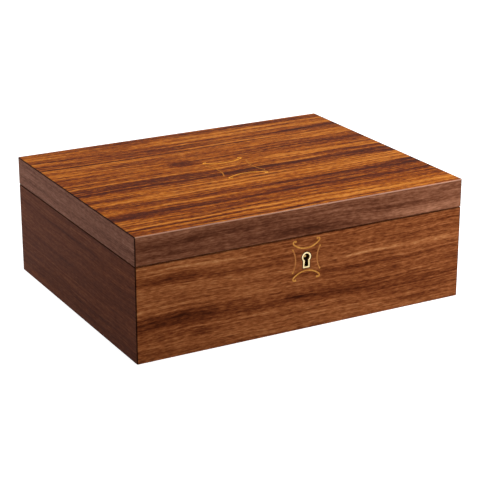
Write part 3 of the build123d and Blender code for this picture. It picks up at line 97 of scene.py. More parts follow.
def linear(red, green, blue):
    """A colour given as it shows on screen, 0 to 255, as the linear colour that shaders take."""
    channels = []
    for value in (red, green, blue):
        share = value / 255
        channels.append(share / 12.92 if share <= 0.04045 else ((share + 0.055) / 1.055) ** 2.4)
    return (*channels, 1.0)


pore_color = linear(58, 25, 11)
# Pale colour of the painted highlight on the lid veneer's front and back edges
painted_highlight_color = linear(190, 148, 128)
# Dark colour of the darkened veneer ends and the mitre lines, and of the painted shade along the
# seam and round the escutcheon
dark_line_and_shade_color = linear(18, 8, 6)


class Finish:
    """A material under construction, with a short call for each kind of node that it uses."""

    def __init__(self, name):
        self.material = bpy.data.materials.new(name)
        self.material.use_nodes = True
        self.tree = self.material.node_tree
        self.tree.nodes.clear()
        self.output = self.node("ShaderNodeOutputMaterial")
        self.place = self.node("ShaderNodeTexCoord").outputs["Object"]

    def node(self, kind, **settings):
        made = self.tree.nodes.new(kind)
        for key, value in settings.items():
            setattr(made, key, value)
        return made

    def feed(self, socket, value):
        """Link an output to a socket, or set a plain value on it."""
        if isinstance(value, bpy.types.NodeSocket):
            self.tree.links.new(value, socket)
        else:
            socket.default_value = value

    def math(self, operation, *values, clamp=False):
        made = self.node("ShaderNodeMath", operation=operation, use_clamp=clamp)
        for socket, value in zip(made.inputs, values):
            self.feed(socket, value)
        return made.outputs[0]

    def add(self, first, *others):
        total = first
        for other in others:
            total = self.math("ADD", total, other)
        return total

    def times(self, first, second):
        return self.math("MULTIPLY", first, second)

    def smooth(self, value, start, end, low=0.0, high=1.0):
        """Smooth step from low to high while value goes from start to end."""
        made = self.node("ShaderNodeMapRange", interpolation_type="SMOOTHSTEP")
        for socket, given in zip(made.inputs, (value, start, end, low, high)):
            self.feed(socket, given)
        return made.outputs[0]

    def axes(self):
        """The coordinates of a point, by the name of their axis."""
        split = self.node("ShaderNodeSeparateXYZ")
        self.feed(split.inputs[0], self.place)
        return dict(zip("XYZ", split.outputs))

    def vector(self, x, y, z):
        made = self.node("ShaderNodeCombineXYZ")
        for socket, value in zip(made.inputs, (x, y, z)):
            self.feed(socket, value)
        return made.outputs[0]

    def noise(self, vector, scale=1.0, detail=2.0, roughness=0.5):
        made = self.node("ShaderNodeTexNoise")
        self.feed(made.inputs["Vector"], vector)
        made.inputs["Scale"].default_value = scale
        made.inputs["Detail"].default_value = detail
        made.inputs["Roughness"].default_value = roughness
        return made.outputs["Fac"]

    def stretched_noise(self, scales, **settings):
        """Noise in a space that has its own scale along each axis."""
        axis = self.axes()
        scaled = [self.times(axis[name], scale) for name, scale in zip("XYZ", scales)]
        return self.noise(self.vector(*scaled), **settings)

    def ramp(self, factor, stops):
        made = self.node("ShaderNodeValToRGB")
        elements = made.color_ramp.elements
        while len(elements) < len(stops):
            elements.new(0.5)
        for element, (position, color) in zip(elements, stops):
            element.position = position
            element.color = color
        self.feed(made.inputs[0], factor)
        return made.outputs[0]

    def mix(self, factor, first, second, blend="MIX"):
        made = self.node("ShaderNodeMix", data_type="RGBA", blend_type=blend)
        self.feed(made.inputs[0], factor)
        self.feed(made.inputs[6], first)
        self.feed(made.inputs[7], second)
        return made.outputs[2]

    def bump(self, height, distance, strength=1.0):
        made = self.node("ShaderNodeBump")
        made.inputs["Strength"].default_value = strength
        made.inputs["Distance"].default_value = distance
        self.feed(made.inputs["Height"], height)
        return made.outputs[0]

    def surface(self, color, roughness, normal=None, **settings):
        """Close the material with a principled shader. Settings are plain values of its sockets."""
        shader = self.node("ShaderNodeBsdfPrincipled")
        self.feed(shader.inputs["Base Color"], color)
        self.feed(shader.inputs["Roughness"], roughness)
        if normal is not None:
            self.feed(shader.inputs["Normal"], normal)
        for key, value in settings.items():
            shader.inputs[key.replace("_", " ")].default_value = value
        self.feed(self.output.inputs["Surface"], shader.outputs[0])
        return self.material


def streak_sum(finish, along, across, streaks):
    """Soft dark streaks, longest along the grain, added up. A negative dark makes a light one."""
    total = 0.0
    for streak in streaks:
        off_along = finish.math(
            "MULTIPLY_ADD", along, 1 / (streak.length * mm), -streak.along / streak.length
        )
        off_across = finish.math(
            "MULTIPLY_ADD", across, 1 / (streak.width * mm), -streak.across / streak.width
        )
        fall = finish.add(
            finish.times(off_along, off_along), finish.times(off_across, off_across)
        )
        peak = finish.math("EXPONENT", finish.times(fall, -1.0))
        total = finish.math("MULTIPLY_ADD", peak, streak.dark, total)
    return total


def wood(
    name,
    grain,
    across,
    seed,
    stops,
    figure=(),
    bands=1.0,
    lines=1.0,
    mottling=1.0,
    dark_ends=None,
    highlight_edge=None,
):
    """Figured veneer under satin lacquer: bands, lines, flecks, fibres and pores along one axis."""
    finish = Finish(name)
    axis = finish.axes()
    along = axis[grain]
    upward = axis[across]
    depth = axis[({"X", "Y", "Z"} - {grain, across}).pop()]
    wide_place = finish.vector(finish.times(along, 6.0), finish.times(upward, 9.0), seed)
    fine_place = finish.vector(finish.times(along, 40.0), finish.times(upward, 60.0), seed + 3.0)
    sway = finish.math("MULTIPLY_ADD", finish.noise(wide_place), 14 * mm, -7 * mm)
    ripple = finish.math("MULTIPLY_ADD", finish.noise(fine_place), 1.4 * mm, -0.7 * mm)
    side = finish.add(upward, sway, ripple)

    def stretched(along_scale, side_scale, shift, detail=2.0, roughness=0.55):
        """Noise drawn out along the grain, centred on nought."""
        place = finish.vector(
            finish.math("MULTIPLY_ADD", along, along_scale, seed + shift),
            finish.times(side, side_scale),
            finish.times(depth, side_scale),
        )
        return finish.math("SUBTRACT", finish.noise(place, detail=detail, roughness=roughness), 0.5)

    broad = stretched(1.4, 48.0, 0.0)
    ribbons = stretched(2.6, 150.0, 11.0, 4.0, 0.72)
    threads = stretched(5.0, 420.0, 17.0, 4.0, 0.75)
    fibres = stretched(30.0, 1500.0, 23.0)
    flecks = stretched(200.0, 820.0, 31.0, 2.0, 0.6)
    mottle = stretched(70.0, 150.0, 41.0, 3.0, 0.6)
    tone = finish.add(
        finish.math("MULTIPLY_ADD", broad, 0.9 * bands, 0.5),
        finish.times(ribbons, 1.3 * bands),
        finish.times(threads, 1.3 * lines),
        finish.times(fibres, 0.8 * lines),
        finish.times(flecks, 0.8 * mottling),
        finish.times(mottle, 0.25 * mottling),
    )
    if figure:
        tone = finish.math("SUBTRACT", tone, streak_sum(finish, along, side, figure))
    color = finish.ramp(tone, stops)
    pores = finish.smooth(stretched(120.0, 1300.0, 51.0, 1.0), 0.14, 0.22)
    color = finish.mix(finish.times(pores, 0.35 * mottling), color, pore_color)
    # Painted highlight on the lid veneer's front and back edges
    if highlight_edge is not None:
        color = finish.mix(highlight_edge(finish, axis), color, painted_highlight_color)
    # Darkened veneer ends and mitre lines, and painted shade along the seam and round the
    # escutcheon
    if dark_ends is not None:
        color = finish.mix(dark_ends(finish, axis), color, dark_line_and_shade_color)
    roughness = finish.math("MULTIPLY_ADD", threads, 0.12, wood_roughness)
    height = finish.add(finish.times(fibres, 0.5), finish.times(pores, -1.0))
    normal = finish.bump(height, 0.04 * mm, 0.4)
    return finish.surface(color, roughness, normal, Specular_IOR_Level=wood_gloss)


# Tones of the woods, dark to light: the lid, front and back, their rails, the left board, darkened
# as painted shade, and its rail, paled and greyed as painted reflection
warm_stops = [
    (0.0, linear(60, 19, 3)),
    (0.21, linear(88, 31, 4)),
    (0.335, linear(108, 45, 5)),
    (0.445, linear(126, 57, 7)),
    (0.527, linear(140, 67, 9)),
    (0.62, linear(155, 78, 12)),
    (0.745, linear(171, 94, 18)),
    (0.92, linear(188, 111, 36)),
    (1.0, linear(202, 127, 50)),
]
brown_stops = [
    (0.0, linear(58, 25, 12)),
    (0.2, linear(86, 40, 19)),
    (0.4, linear(112, 58, 29)),
    (0.55, linear(134, 75, 40)),
    (0.72, linear(155, 93, 53)),
    (0.9, linear(176, 116, 71)),
    (1.0, linear(192, 134, 88)),
]
dull_stops = [
    (0.0, linear(54, 26, 16)),
    (0.25, linear(82, 44, 28)),
    (0.5, linear(113, 68, 47)),
    (0.75, linear(145, 96, 71)),
    (1.0, linear(178, 126, 98)),
]
# The left board's wood, darkened as painted shade
side_shade_stops = [
    (0.0, linear(54, 20, 10)),
    (0.25, linear(78, 36, 20)),
    (0.5, linear(103, 53, 32)),
    (0.75, linear(128, 73, 47)),
    (1.0, linear(156, 98, 68)),
]
# The left rail's wood, paled and greyed by painted reflection
side_rail_reflection_stops = [
    (0.0, linear(88, 48, 34)),
    (0.25, linear(116, 72, 56)),
    (0.5, linear(142, 94, 75)),
    (0.75, linear(164, 114, 94)),
    (1.0, linear(184, 130, 104)),
]

# Main streaks of the veneer, in millimetres. On the lid along is x and across is y
lid_figure = [
    Streak(along=-30, across=78, length=40, width=3.5, dark=0.34),
    Streak(along=122, across=78, length=50, width=4.5, dark=0.42),
    Streak(along=-105, across=64, length=52, width=1.8, dark=0.3),
    Streak(along=-35, across=31, length=14, width=8, dark=0.5),
    Streak(along=95, across=37, length=60, width=9, dark=0.2),
    Streak(along=88, across=16, length=70, width=2.2, dark=0.24),
    Streak(along=-110, across=-11, length=70, width=1.6, dark=0.38),
    Streak(along=5, across=-9, length=42, width=4.6, dark=0.52),
    Streak(along=105, across=-11, length=70, width=3.4, dark=0.4),
    Streak(along=-104, across=-56, length=24, width=6, dark=0.26),
    Streak(along=120, across=-57, length=50, width=3.6, dark=0.34),
    Streak(along=50, across=-71, length=160, width=3.4, dark=0.42),
    Streak(along=-130, across=-74, length=50, width=4.4, dark=0.34),
    Streak(along=-115, across=-101, length=52, width=1.7, dark=0.34),
    Streak(along=0, across=112, length=260, width=9, dark=0.16),
    Streak(along=62, across=-39, length=110, width=9, dark=-0.26),
    Streak(along=48, across=0, length=26, width=4, dark=-0.3),
    Streak(along=115, across=9, length=50, width=3, dark=-0.2),
    Streak(along=30, across=92, length=60, width=7, dark=-0.2),
    Streak(along=85, across=-104, length=90, width=6, dark=-0.26),
    Streak(along=-70, across=-32, length=70, width=12, dark=-0.12),
]

# On the front and its rail along is x and across is z
front_figure = [
    Streak(along=-112, across=29, length=52, width=5.5, dark=0.42),
    Streak(along=30, across=28, length=60, width=4.5, dark=0.26),
    Streak(along=125, across=26, length=40, width=3.5, dark=0.2),
    Streak(along=-8, across=27.5, length=9, width=1.1, dark=0.5),
    Streak(along=-112, across=62, length=26, width=3.2, dark=0.26),
    Streak(along=-90, across=43, length=60, width=1.8, dark=0.2),
    Streak(along=-90, across=14.5, length=9, width=2.4, dark=0.3),
    Streak(along=104, across=9, length=22, width=2, dark=0.34),
    Streak(along=40, across=46, length=80, width=2.4, dark=0.18),
    Streak(along=64, across=56, length=26, width=1.6, dark=-0.34),
    Streak(along=130, across=55, length=26, width=2.2, dark=-0.24),
    Streak(along=-45, across=38, length=34, width=3, dark=-0.2),
    Streak(along=-20, across=10, length=150, width=7, dark=-0.16),
    Streak(along=-80, across=70, length=50, width=4, dark=-0.14),
]
rail_figure = [
    Streak(along=-90, across=92, length=80, width=2.6, dark=0.3),
    Streak(along=0, across=82, length=45, width=4, dark=0.24),
    Streak(along=80, across=90, length=50, width=2, dark=0.16),
    Streak(along=115, across=84, length=40, width=4, dark=-0.14),
]


def veneer_ends(finish, axis):
    """The lid veneer darkened at both of its ends in x, over the last 0.75 mm."""
    reach = finish.math("ABSOLUTE", axis["X"])
    return finish.smooth(reach, half_width - 0.75 * mm, half_width - 0.35 * mm, 0.0, 0.88)


def painted_edge_highlight(finish, axis):
    """Painted highlight along the lid veneer's front and back edges."""
    reach = finish.math("ABSOLUTE", axis["Y"])
    return finish.smooth(reach, half_depth - 0.5 * mm, half_depth - 0.15 * mm, 0.0, 0.75)


def mitre_line_and_seam_shade(finish, axis):
    """Dark lines on the outer faces: mitre lines down the upright corners, and painted shade along
    the seam under the lid.
    """
    from_middle = [finish.math("ABSOLUTE", axis[name]) for name in "XY"]
    corner, face = [], []
    for reach, half in zip(from_middle, (half_width, half_depth)):
        corner.append(finish.smooth(reach, half - 1.1 * mm, half - 0.5 * mm))
        face.append(finish.smooth(reach, half - 0.35 * mm, half - 0.1 * mm))
    # Painted shade along the seam gap under the lid, on the outer faces next to it
    from_seam = finish.math("ABSOLUTE", finish.math("SUBTRACT", axis["Z"], seam_middle))
    seam = finish.smooth(from_seam, 0.45 * mm, 0.9 * mm, 0.9, 0.0)
    upright = finish.times(finish.times(corner[0], corner[1]), 0.85)
    outer_seam_shade = finish.times(seam, finish.math("MAXIMUM", face[0], face[1]))
    return finish.math("MAXIMUM", upright, outer_seam_shade)


def keyhole_outline(finish, axis):
    """How far a point of the front lies outside the escutcheon's outline. It is negative inside."""
    height = finish.math("SUBTRACT", axis["Z"], keyhole_center_z)
    squares = finish.add(finish.times(axis["X"], axis["X"]), finish.times(height, height))
    round_top = finish.math("SUBTRACT", finish.math("SQRT", squares), keyhole_radius)
    skirt_side = finish.math("SUBTRACT", finish.math("ABSOLUTE", axis["X"]), skirt_half_width)
    skirt_foot = finish.math("SUBTRACT", escutcheon_low.z, axis["Z"])
    skirt = finish.math("MAXIMUM", skirt_side, finish.math("MAXIMUM", skirt_foot, height))
    return finish.math("MINIMUM", round_top, skirt)


def keyhole_edge(finish, axis):
    """Painted shadow of the gap round the escutcheon, with old polish in it, and the mitre lines
    and painted seam shade of the front board.
    """
    # Painted shadow in the gap round the escutcheon, with old polish in it
    ring = finish.smooth(keyhole_outline(finish, axis), 0.15 * mm, 0.75 * mm, 0.9, 0.0)
    return finish.math("MAXIMUM", ring, mitre_line_and_seam_shade(finish, axis))


def golden_inlay(name, across, middle, bars_from, bar_tones, side_tones):
    """Stringing wood under the same lacquer: the bars golden, the sides between them duller."""
    finish = Finish(name)
    axis = finish.axes()
    grain = finish.noise(finish.place, 900.0, 3.0)
    patches = finish.noise(finish.place, 160.0, 2.0)
    tone = finish.add(finish.times(grain, 0.5), finish.times(patches, 0.5))
    positions = (0.25, 0.5, 0.75)
    bars = finish.ramp(tone, list(zip(positions, bar_tones)))
    sides = finish.ramp(tone, list(zip(positions, side_tones)))
    reach = finish.math("ABSOLUTE", finish.math("SUBTRACT", axis[across], middle))
    color = finish.mix(finish.smooth(reach, bars_from - 1.5 * mm, bars_from), sides, bars)
    normal = finish.bump(grain, 0.02 * mm, 0.4)
    return finish.surface(color, 0.4, normal, Specular_IOR_Level=wood_gloss)


def plain_wood(name, seed):
    """Unfigured inner wood with a thin sealer."""
    finish = Finish(name)
    axis = finish.axes()
    rings = finish.stretched_noise((5.0, 110.0, 110.0), detail=3.0)
    fibre_place = finish.vector(
        finish.times(axis["X"], 60.0), finish.times(axis["Y"], 1800.0), seed
    )
    fibres = finish.noise(fibre_place, detail=2.0)
    tone = finish.add(finish.times(rings, 0.75), finish.times(fibres, 0.25))
    stops = [(0.3, linear(112, 74, 42)), (0.5, linear(146, 104, 64)), (0.7, linear(172, 130, 86))]
    normal = finish.bump(fibres, 0.06 * mm, 0.6)
    return finish.surface(finish.ramp(tone, stops), 0.55, normal, Specular_IOR_Level=0.3)


def velvet(name, dark, bright):
    """Short-pile velvet: brushed patches, fine pile and a soft sheen at grazing angles."""
    finish = Finish(name)
    brushed = finish.noise(finish.place, 32.0, 3.0, 0.6)
    pile = finish.noise(finish.place, 2600.0, 2.0)
    crush = finish.noise(finish.place, 210.0, 3.0, 0.6)
    tone = finish.add(
        finish.times(brushed, 0.5), finish.times(crush, 0.25), finish.times(pile, 0.25)
    )
    color = finish.ramp(tone, [(0.32, dark), (0.68, bright)])
    height = finish.add(finish.times(pile, 0.7), finish.times(crush, 0.3))
    return finish.surface(
        color,
        0.9,
        finish.bump(height, 0.25 * mm, 0.7),
        Specular_IOR_Level=0.15,
        Sheen_Weight=0.55,
        Sheen_Roughness=0.45,
        Sheen_Tint=linear(214, 120, 128),
    )


def metal(name, dark, bright, roughness, grain=(300.0, 300.0, 300.0), relief=0.01 * mm):
    """Metal with tarnish patches and fine working marks, which may run along one axis."""
    finish = Finish(name)
    marks = finish.stretched_noise(grain, detail=3.0, roughness=0.6)
    patches = finish.noise(finish.place, 90.0, 3.0, 0.6)
    tone = finish.add(finish.times(patches, 0.6), finish.times(marks, 0.4))
    color = finish.ramp(tone, [(0.3, dark), (0.6, bright)])
    rough = finish.math("MULTIPLY_ADD", tone, 0.18, roughness - 0.09)
    return finish.surface(color, rough, finish.bump(marks, relief, 0.5), Metallic=1.0)


def escutcheon_brass():
    """Polished pale brass, with painted shade on the bevel round its rim."""
    finish = Finish("escutcheon_brass")
    axis = finish.axes()
    patches = finish.noise(finish.place, 400.0, 3.0, 0.6)
    color = finish.ramp(patches, [(0.35, linear(204, 180, 126)), (0.65, linear(234, 216, 172))])
    # Painted shade on the bevel round the escutcheon's rim
    rim = finish.smooth(keyhole_outline(finish, axis), -0.4 * mm, -0.12 * mm, 0.0, 0.85)
    color = finish.mix(rim, color, linear(70, 46, 24))
    rough = finish.math("MULTIPLY_ADD", patches, 0.14, 0.24)
    return finish.surface(color, rough, finish.bump(patches, 0.01 * mm, 0.5), Metallic=1.0)


def mirror_silver():
    """Silvered glass with the faintest haze of handling."""
    finish = Finish("mirror_silver")
    haze = finish.noise(finish.place, 26.0, 4.0, 0.6)
    color = finish.ramp(haze, [(0.3, (0.66, 0.69, 0.71, 1.0)), (0.7, (0.74, 0.77, 0.79, 1.0))])
    rough = finish.math("MULTIPLY_ADD", haze, 0.03, 0.005)
    return finish.surface(color, rough, Metallic=1.0)


def clear_sheet():
    """Clear cover sheet with fine wipe marks."""
    finish = Finish("clear_glass")
    wipes = finish.noise(finish.place, 120.0, 3.0)
    rough = finish.math("MULTIPLY_ADD", wipes, 0.05, 0.0)
    return finish.surface((0.93, 0.97, 0.96, 1.0), rough, Transmission_Weight=1.0, IOR=1.49)


def give(material, *names):
    """Put one finish on CAD nodes."""
    for name in names:
        data = nodes[name].data
        data.materials.clear()
        data.materials.append(material)


lid_wood = wood(
    "lid_wood",
    grain="X",
    across="Y",
    seed=4.0,
    stops=warm_stops,
    figure=lid_figure,
    lines=1.9,
    mottling=1.7,
    dark_ends=veneer_ends,
    highlight_edge=painted_edge_highlight,
)


def board(name, grain, seed, stops, bands, lines, mottling=1.0, figure=(), dark_ends=mitre_line_and_seam_shade):
    """Veneer of an upright board or rail, with dark lines at its mitres and painted shade along the
    seam.
    """
    return wood(name, grain, "Z", seed, stops, figure, bands, lines, mottling, dark_ends)


front_wood = board(
    "front_wood", "X", 9.0, brown_stops, 0.45, 0.75, 1.1, front_figure, keyhole_edge
)
front_rail_wood = board("front_rail_wood", "X", 15.0, dull_stops, 0.45, 0.45, 0.95, rail_figure)
back_wood = board("back_wood", "X", 27.0, brown_stops, 0.6, 0.75, 1.15)
back_rail_wood = board("back_rail_wood", "X", 33.0, dull_stops, 0.5, 0.6, 1.3)
# Left board in darker tones as painted shade, its rail in paler and greyer tones as painted
# reflection
left_wood = board("left_wood", "Y", 39.0, side_shade_stops, 0.6, 0.7, 0.8)
left_rail_wood = board("left_rail_wood", "Y", 47.0, side_rail_reflection_stops, 0.6, 0.7)
right_wood = board("right_wood", "Y", 61.0, brown_stops, 0.6, 0.75, 1.1)
right_rail_wood = board("right_rail_wood", "Y", 67.0, dull_stops, 0.45, 0.45, 0.95)
frame_wood = wood("frame_wood", "X", "Y", 53.0, dull_stops, bands=0.7)
inner_wood = plain_wood("inner_wood", 5.0)
front_inlay_wood = golden_inlay(
    "front_inlay_wood",
    "Z",
    front_strings_middle,
    front_bars_from,
    (linear(164, 104, 44), linear(196, 134, 62), linear(218, 160, 84)),
    (linear(140, 84, 42), linear(168, 106, 56), linear(190, 128, 72)),
)
lid_inlay_wood = golden_inlay(
    "lid_inlay_wood",
    "Y",
    0.0,
    lid_bars_from,
    (linear(206, 128, 34), linear(232, 156, 48), linear(248, 184, 76)),
    (linear(140, 82, 24), linear(166, 100, 32), linear(190, 122, 44)),
)
wine_velvet = velvet("wine_velvet", linear(58, 8, 16), linear(112, 22, 34))
brass = metal("brass", linear(160, 128, 76), linear(196, 166, 110), 0.34)
turned_brass = metal(
    "turned_brass", linear(172, 138, 76), linear(214, 182, 116), 0.26, (1400.0, 60.0, 60.0)
)
steel = metal("steel", linear(128, 130, 134), linear(186, 188, 192), 0.3, (60.0, 900.0, 60.0))
blued_steel = metal("blued_steel", linear(46, 52, 70), linear(92, 100, 124), 0.32)
cast_metal = metal("cast_metal", linear(120, 100, 64), linear(172, 148, 98), 0.46, relief=0.05 * mm)

give(lid_wood, "top_veneer")
give(front_wood, "front_board")
give(front_rail_wood, "lid_front_rail")
give(back_wood, "back_board")
give(back_rail_wood, "lid_back_rail")
give(left_wood, "left_board")
give(left_rail_wood, "lid_left_rail")
give(right_wood, "right_board")
give(right_rail_wood, "lid_right_rail")
give(frame_wood, "mirror_frame")
give(inner_wood, "bottom_panel", "lid_panel")
give(front_inlay_wood, "front_inlay")
give(lid_inlay_wood, "lid_inlay")
give(
    wine_velvet,
    "front_lining",
    "back_lining",
    "side_linings",
    "left_divider",
    "right_divider",
    "left_cross_divider",
    "middle_cross_divider",
    "right_cross_divider",
    "ring_section_base",
    "cover_ledges",
)
give(escutcheon_brass(), "escutcheon")
give(
    brass,
    "lock_key_pin",
    "lock_plate",
    "lock_cap",
    "lock_bolt",
    "lock_link_plate",
    "hinge_case_leaves",
    "hinge_lid_leaves",
    "hinge_pins",
    "case_screws",
    "lid_screws",
    "spring_housing",
    "winding_key",
    "crown_wheel",
    "cylinder_brackets",
    "governor_frame",
    "fan",
)
give(turned_brass, "cylinder_barrel", "great_wheel", "governor_wheel")
give(steel, "comb", "winding_arbor", "cylinder_arbor", "worm_spindle", "stop_plunger")
give(blued_steel, "lock_spring", "mainspring", "movement_screws")
give(cast_metal, "bedplate")
give(mirror_silver(), "mirror")
give(clear_sheet(), "music_cover")


def shown_mesh(name, mesh, material, body):
    """Make an object of a bmesh, smooth-shaded, riding on a body."""
    bmesh.ops.recalc_face_normals(mesh, faces=mesh.faces)
    data = bpy.data.meshes.new(name)
    mesh.to_mesh(data)
    mesh.free()
    data.materials.append(material)
    for polygon in data.polygons:
        polygon.use_smooth = True
    made = bpy.data.objects.new(name, data)
    bpy.context.scene.collection.objects.link(made)
    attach(made, body)
    return made


def join_rings(mesh, rings):
    """Faces between closed rings of equally many vertices, in order."""
    for inner, outer in zip(rings, rings[1:]):
        for index in range(len(inner)):
            following = (index + 1) % len(inner)
            mesh.faces.new((inner[index], inner[following], outer[following], outer[index]))


def rounded_outline(half_x, half_y, corner, side_steps, corner_steps):
    """Points of a rounded rectangle, evenly many on each side whatever its size."""
    points = []
    corners = ((1, 1), (-1, 1), (-1, -1), (1, -1))
    for turn, (sign_x, sign_y) in enumerate(corners):
        center = Vector((sign_x * (half_x - corner), sign_y * (half_y - corner)))
        for step in range(corner_steps + 1):
            angle = math.pi / 2 * (turn + step / corner_steps)
            points.append(center + corner * Vector((math.cos(angle), math.sin(angle))))
        next_x, next_y = corners[(turn + 1) % 4]
        start_angle = math.pi / 2 * (turn + 1)
        next_center = Vector((next_x * (half_x - corner), next_y * (half_y - corner)))
        start = points[-1]
        end = next_center + corner * Vector((math.cos(start_angle), math.sin(start_angle)))
        for step in range(1, side_steps):
            points.append(start.lerp(end, step / side_steps))
    return points


# Floor pads of the compartments: lengths in millimetres, heights as shares of the pad's
pad_insets = (0.0, 0.25, 0.8, 1.8, 3.2, 5.0, 8.0, 12.0, 17.0, 23.0, 29.0)
pad_corner = 3
pad_least_corner = 0.4
pad_side_steps = 18
pad_corner_steps = 5
pad_roll = 3.2              # width of the rolled rim
pad_side_share = 0.42       # where the rim starts
pad_rim_share = 0.86        # where it ends
pad_crown_share = 0.14      # what the crown adds in the middle
pad_crown_reach = 14
pad_pull = 0.5              # how far the sides draw in
pad_pull_reach = 6
pad_unevenness = 0.22


def floor_pad(node):
    """Crowned pad: sides drawn in between the corners, rolled rim, gently rising to the middle."""
    low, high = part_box(node)
    center = (low + high) / 2
    half_x, half_y = (high.x - low.x) / 2, (high.y - low.y) / 2
    height = high.z - low.z
    mesh = bmesh.new()
    rings = []
    base = []
    for inset_mm in pad_insets:
        inset = inset_mm * mm
        corner = max(pad_corner * mm - inset, pad_least_corner * mm)
        outline = rounded_outline(
            half_x - inset, half_y - inset, corner, pad_side_steps, pad_corner_steps
        )
        roll = min(inset_mm / pad_roll, 1.0)
        rise = pad_side_share + (pad_rim_share - pad_side_share) * math.sqrt(1 - (1 - roll) ** 2)
        rise += pad_crown_share * (1 - math.exp(-inset_mm / pad_crown_reach))
        ring = []
        for point in outline:
            between_x = 1 - min(abs(point.x) / half_x, 1) ** 4
            between_y = 1 - min(abs(point.y) / half_y, 1) ** 4
            fade = math.exp(-inset_mm / pad_pull_reach)
            pulled = Vector((
                point.x * (1 - pad_pull * mm * fade * between_y / half_x),
                point.y * (1 - pad_pull * mm * fade * between_x / half_y),
            ))
            wave = noise.noise(Vector((point.x * 55, point.y * 55, center.x * 40)))
            lift = min(height, height * rise + pad_unevenness * mm * wave * roll)
            ring.append(mesh.verts.new((center.x + pulled.x, center.y + pulled.y, low.z + lift)))
        rings.append(ring)
        if not base:
            base = [mesh.verts.new((vertex.co.x, vertex.co.y, low.z)) for vertex in ring]
    join_rings(mesh, [base, *rings])
    mesh.faces.new(base)
    mesh.faces.new(rings[-1])
    made = shown_mesh(node + "_velvet", mesh, wine_velvet, "case")
    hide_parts(node)


for pad_node in ("front_left_pad", "front_middle_pad", "rear_middle_pad", "front_right_pad"):
    floor_pad(pad_node)

# Rolls of the ring section
roll_count = 6
roll_gap = 0.4 * mm
roll_stations = 44
roll_arc_steps = 20
roll_end = 5.0 * mm               # length of the rounded end
roll_end_size = 0.62              # size of the end's face, as a share of the full section
roll_swell = 0.38                 # what the rounding adds to it
roll_gather = 0.28 * mm           # depth of the gathers at the ends
roll_gather_reach = 4 * mm
roll_gather_count = 11
roll_wave = 0.18 * mm
roll_foot_shares = (0.66, 0.33, 0.0)
roll_pinch = 0.05


def ring_roll(index):
    """One padded roll: flat underneath, round on top, gathered and rounded at both ends."""
    low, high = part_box("ring_rolls")
    pitch = (high.y - low.y + roll_gap) / roll_count
    half = (pitch - roll_gap) / 2
    center_y = low.y + half + index * pitch
    center_x = (low.x + high.x) / 2
    half_length = (high.x - low.x) / 2
    shoulder = high.z - low.z - half
    mesh = bmesh.new()
    sections = []
    for station in range(roll_stations + 1):
        angle = math.pi * station / roll_stations
        x = -math.cos(angle) * half_length
        from_end = half_length - abs(x)
        fullness = math.sqrt(max(0.0, 1 - (1 - min(from_end / roll_end, 1.0)) ** 2))
        size = roll_end_size + roll_swell * fullness
        section = []
        for step in range(roll_arc_steps + 1):
            turn = math.pi * step / roll_arc_steps
            ripple = math.sin(roll_gather_count * turn + index)
            gather = roll_gather * math.exp(-from_end / roll_gather_reach) * ripple
            wave = roll_wave * noise.noise(Vector((x * 90, turn * 1.5, index * 5.0)))
            radius = half * size - abs(gather) + min(wave, 0)
            section.append(mesh.verts.new((
                center_x + x,
                center_y + radius * math.cos(turn),
                low.z + shoulder * (0.8 + 0.2 * size) + radius * math.sin(turn),
            )))
        for side in (-1, 1):
            for share in roll_foot_shares:
                foot = share if side < 0 else roll_foot_shares[0] - share
                pinch = 1 - roll_pinch * (1 - foot)
                section.append(mesh.verts.new((
                    center_x + x,
                    center_y + side * half * size * pinch,
                    low.z + shoulder * foot,
                )))
        sections.append(section)
    join_rings(mesh, sections)
    mesh.faces.new(sections[0])
    mesh.faces.new(sections[-1])
    made = shown_mesh(f"ring_roll_{index + 1}", mesh, wine_velvet, "case")
    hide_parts("ring_rolls")


for roll_index in range(roll_count):
    ring_roll(roll_index)

# Pins of the tune on the barrel
tooth_count = 26
pins_per_track = 15
beats_per_turn = 48
beat_shift = 0.15                 # how far a pin may stand off its beat
pin_radius = 0.17 * mm
pin_height = 0.85 * mm
pin_depth = 0.2 * mm              # how deep its root is set in the barrel
pin_sides = 6
pin_taper_from = 0.85
pin_tip = 0.6


def barrel_pins():
    """Short steel pins in one track under each comb tooth, in an irregular but fixed pattern."""
    barrel_low, barrel_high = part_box("cylinder_barrel")
    comb_low, comb_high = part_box("comb")
    axis_y = (barrel_low.y + barrel_high.y) / 2
    axis_z = (barrel_low.z + barrel_high.z) / 2
    barrel_radius = (barrel_high.z - barrel_low.z) / 2
    pitch = (comb_high.x - comb_low.x) / tooth_count
    order = random.Random(7)
    mesh = bmesh.new()
    for track in range(tooth_count):
        x = comb_low.x + (track + 0.5) * pitch
        for beat in order.sample(range(beats_per_turn), pins_per_track):
            angle = 2 * math.pi * (beat + order.uniform(-beat_shift, beat_shift)) / beats_per_turn
            outward = Vector((0, math.cos(angle), math.sin(angle)))
            sideways = Vector((0, -math.sin(angle), math.cos(angle)))
            root = Vector((x, axis_y, axis_z)) + outward * (barrel_radius - pin_depth)
            rings = []
            for reach, size in ((0.0, 1.0), (pin_taper_from, 1.0), (1.0, pin_tip)):
                radius = pin_radius * size
                middle = root + outward * reach * (pin_height + pin_depth)
                rings.append([
                    mesh.verts.new(
                        middle
                        + radius * math.cos(2 * math.pi * side / pin_sides) * Vector((1, 0, 0))
                        + radius * math.sin(2 * math.pi * side / pin_sides) * sideways
                    )
                    for side in range(pin_sides)
                ])
            join_rings(mesh, rings)
            mesh.faces.new(rings[0])
            mesh.faces.new(rings[-1])
    shown_mesh("barrel_pins", mesh, steel, "cylinder")


barrel_pins()


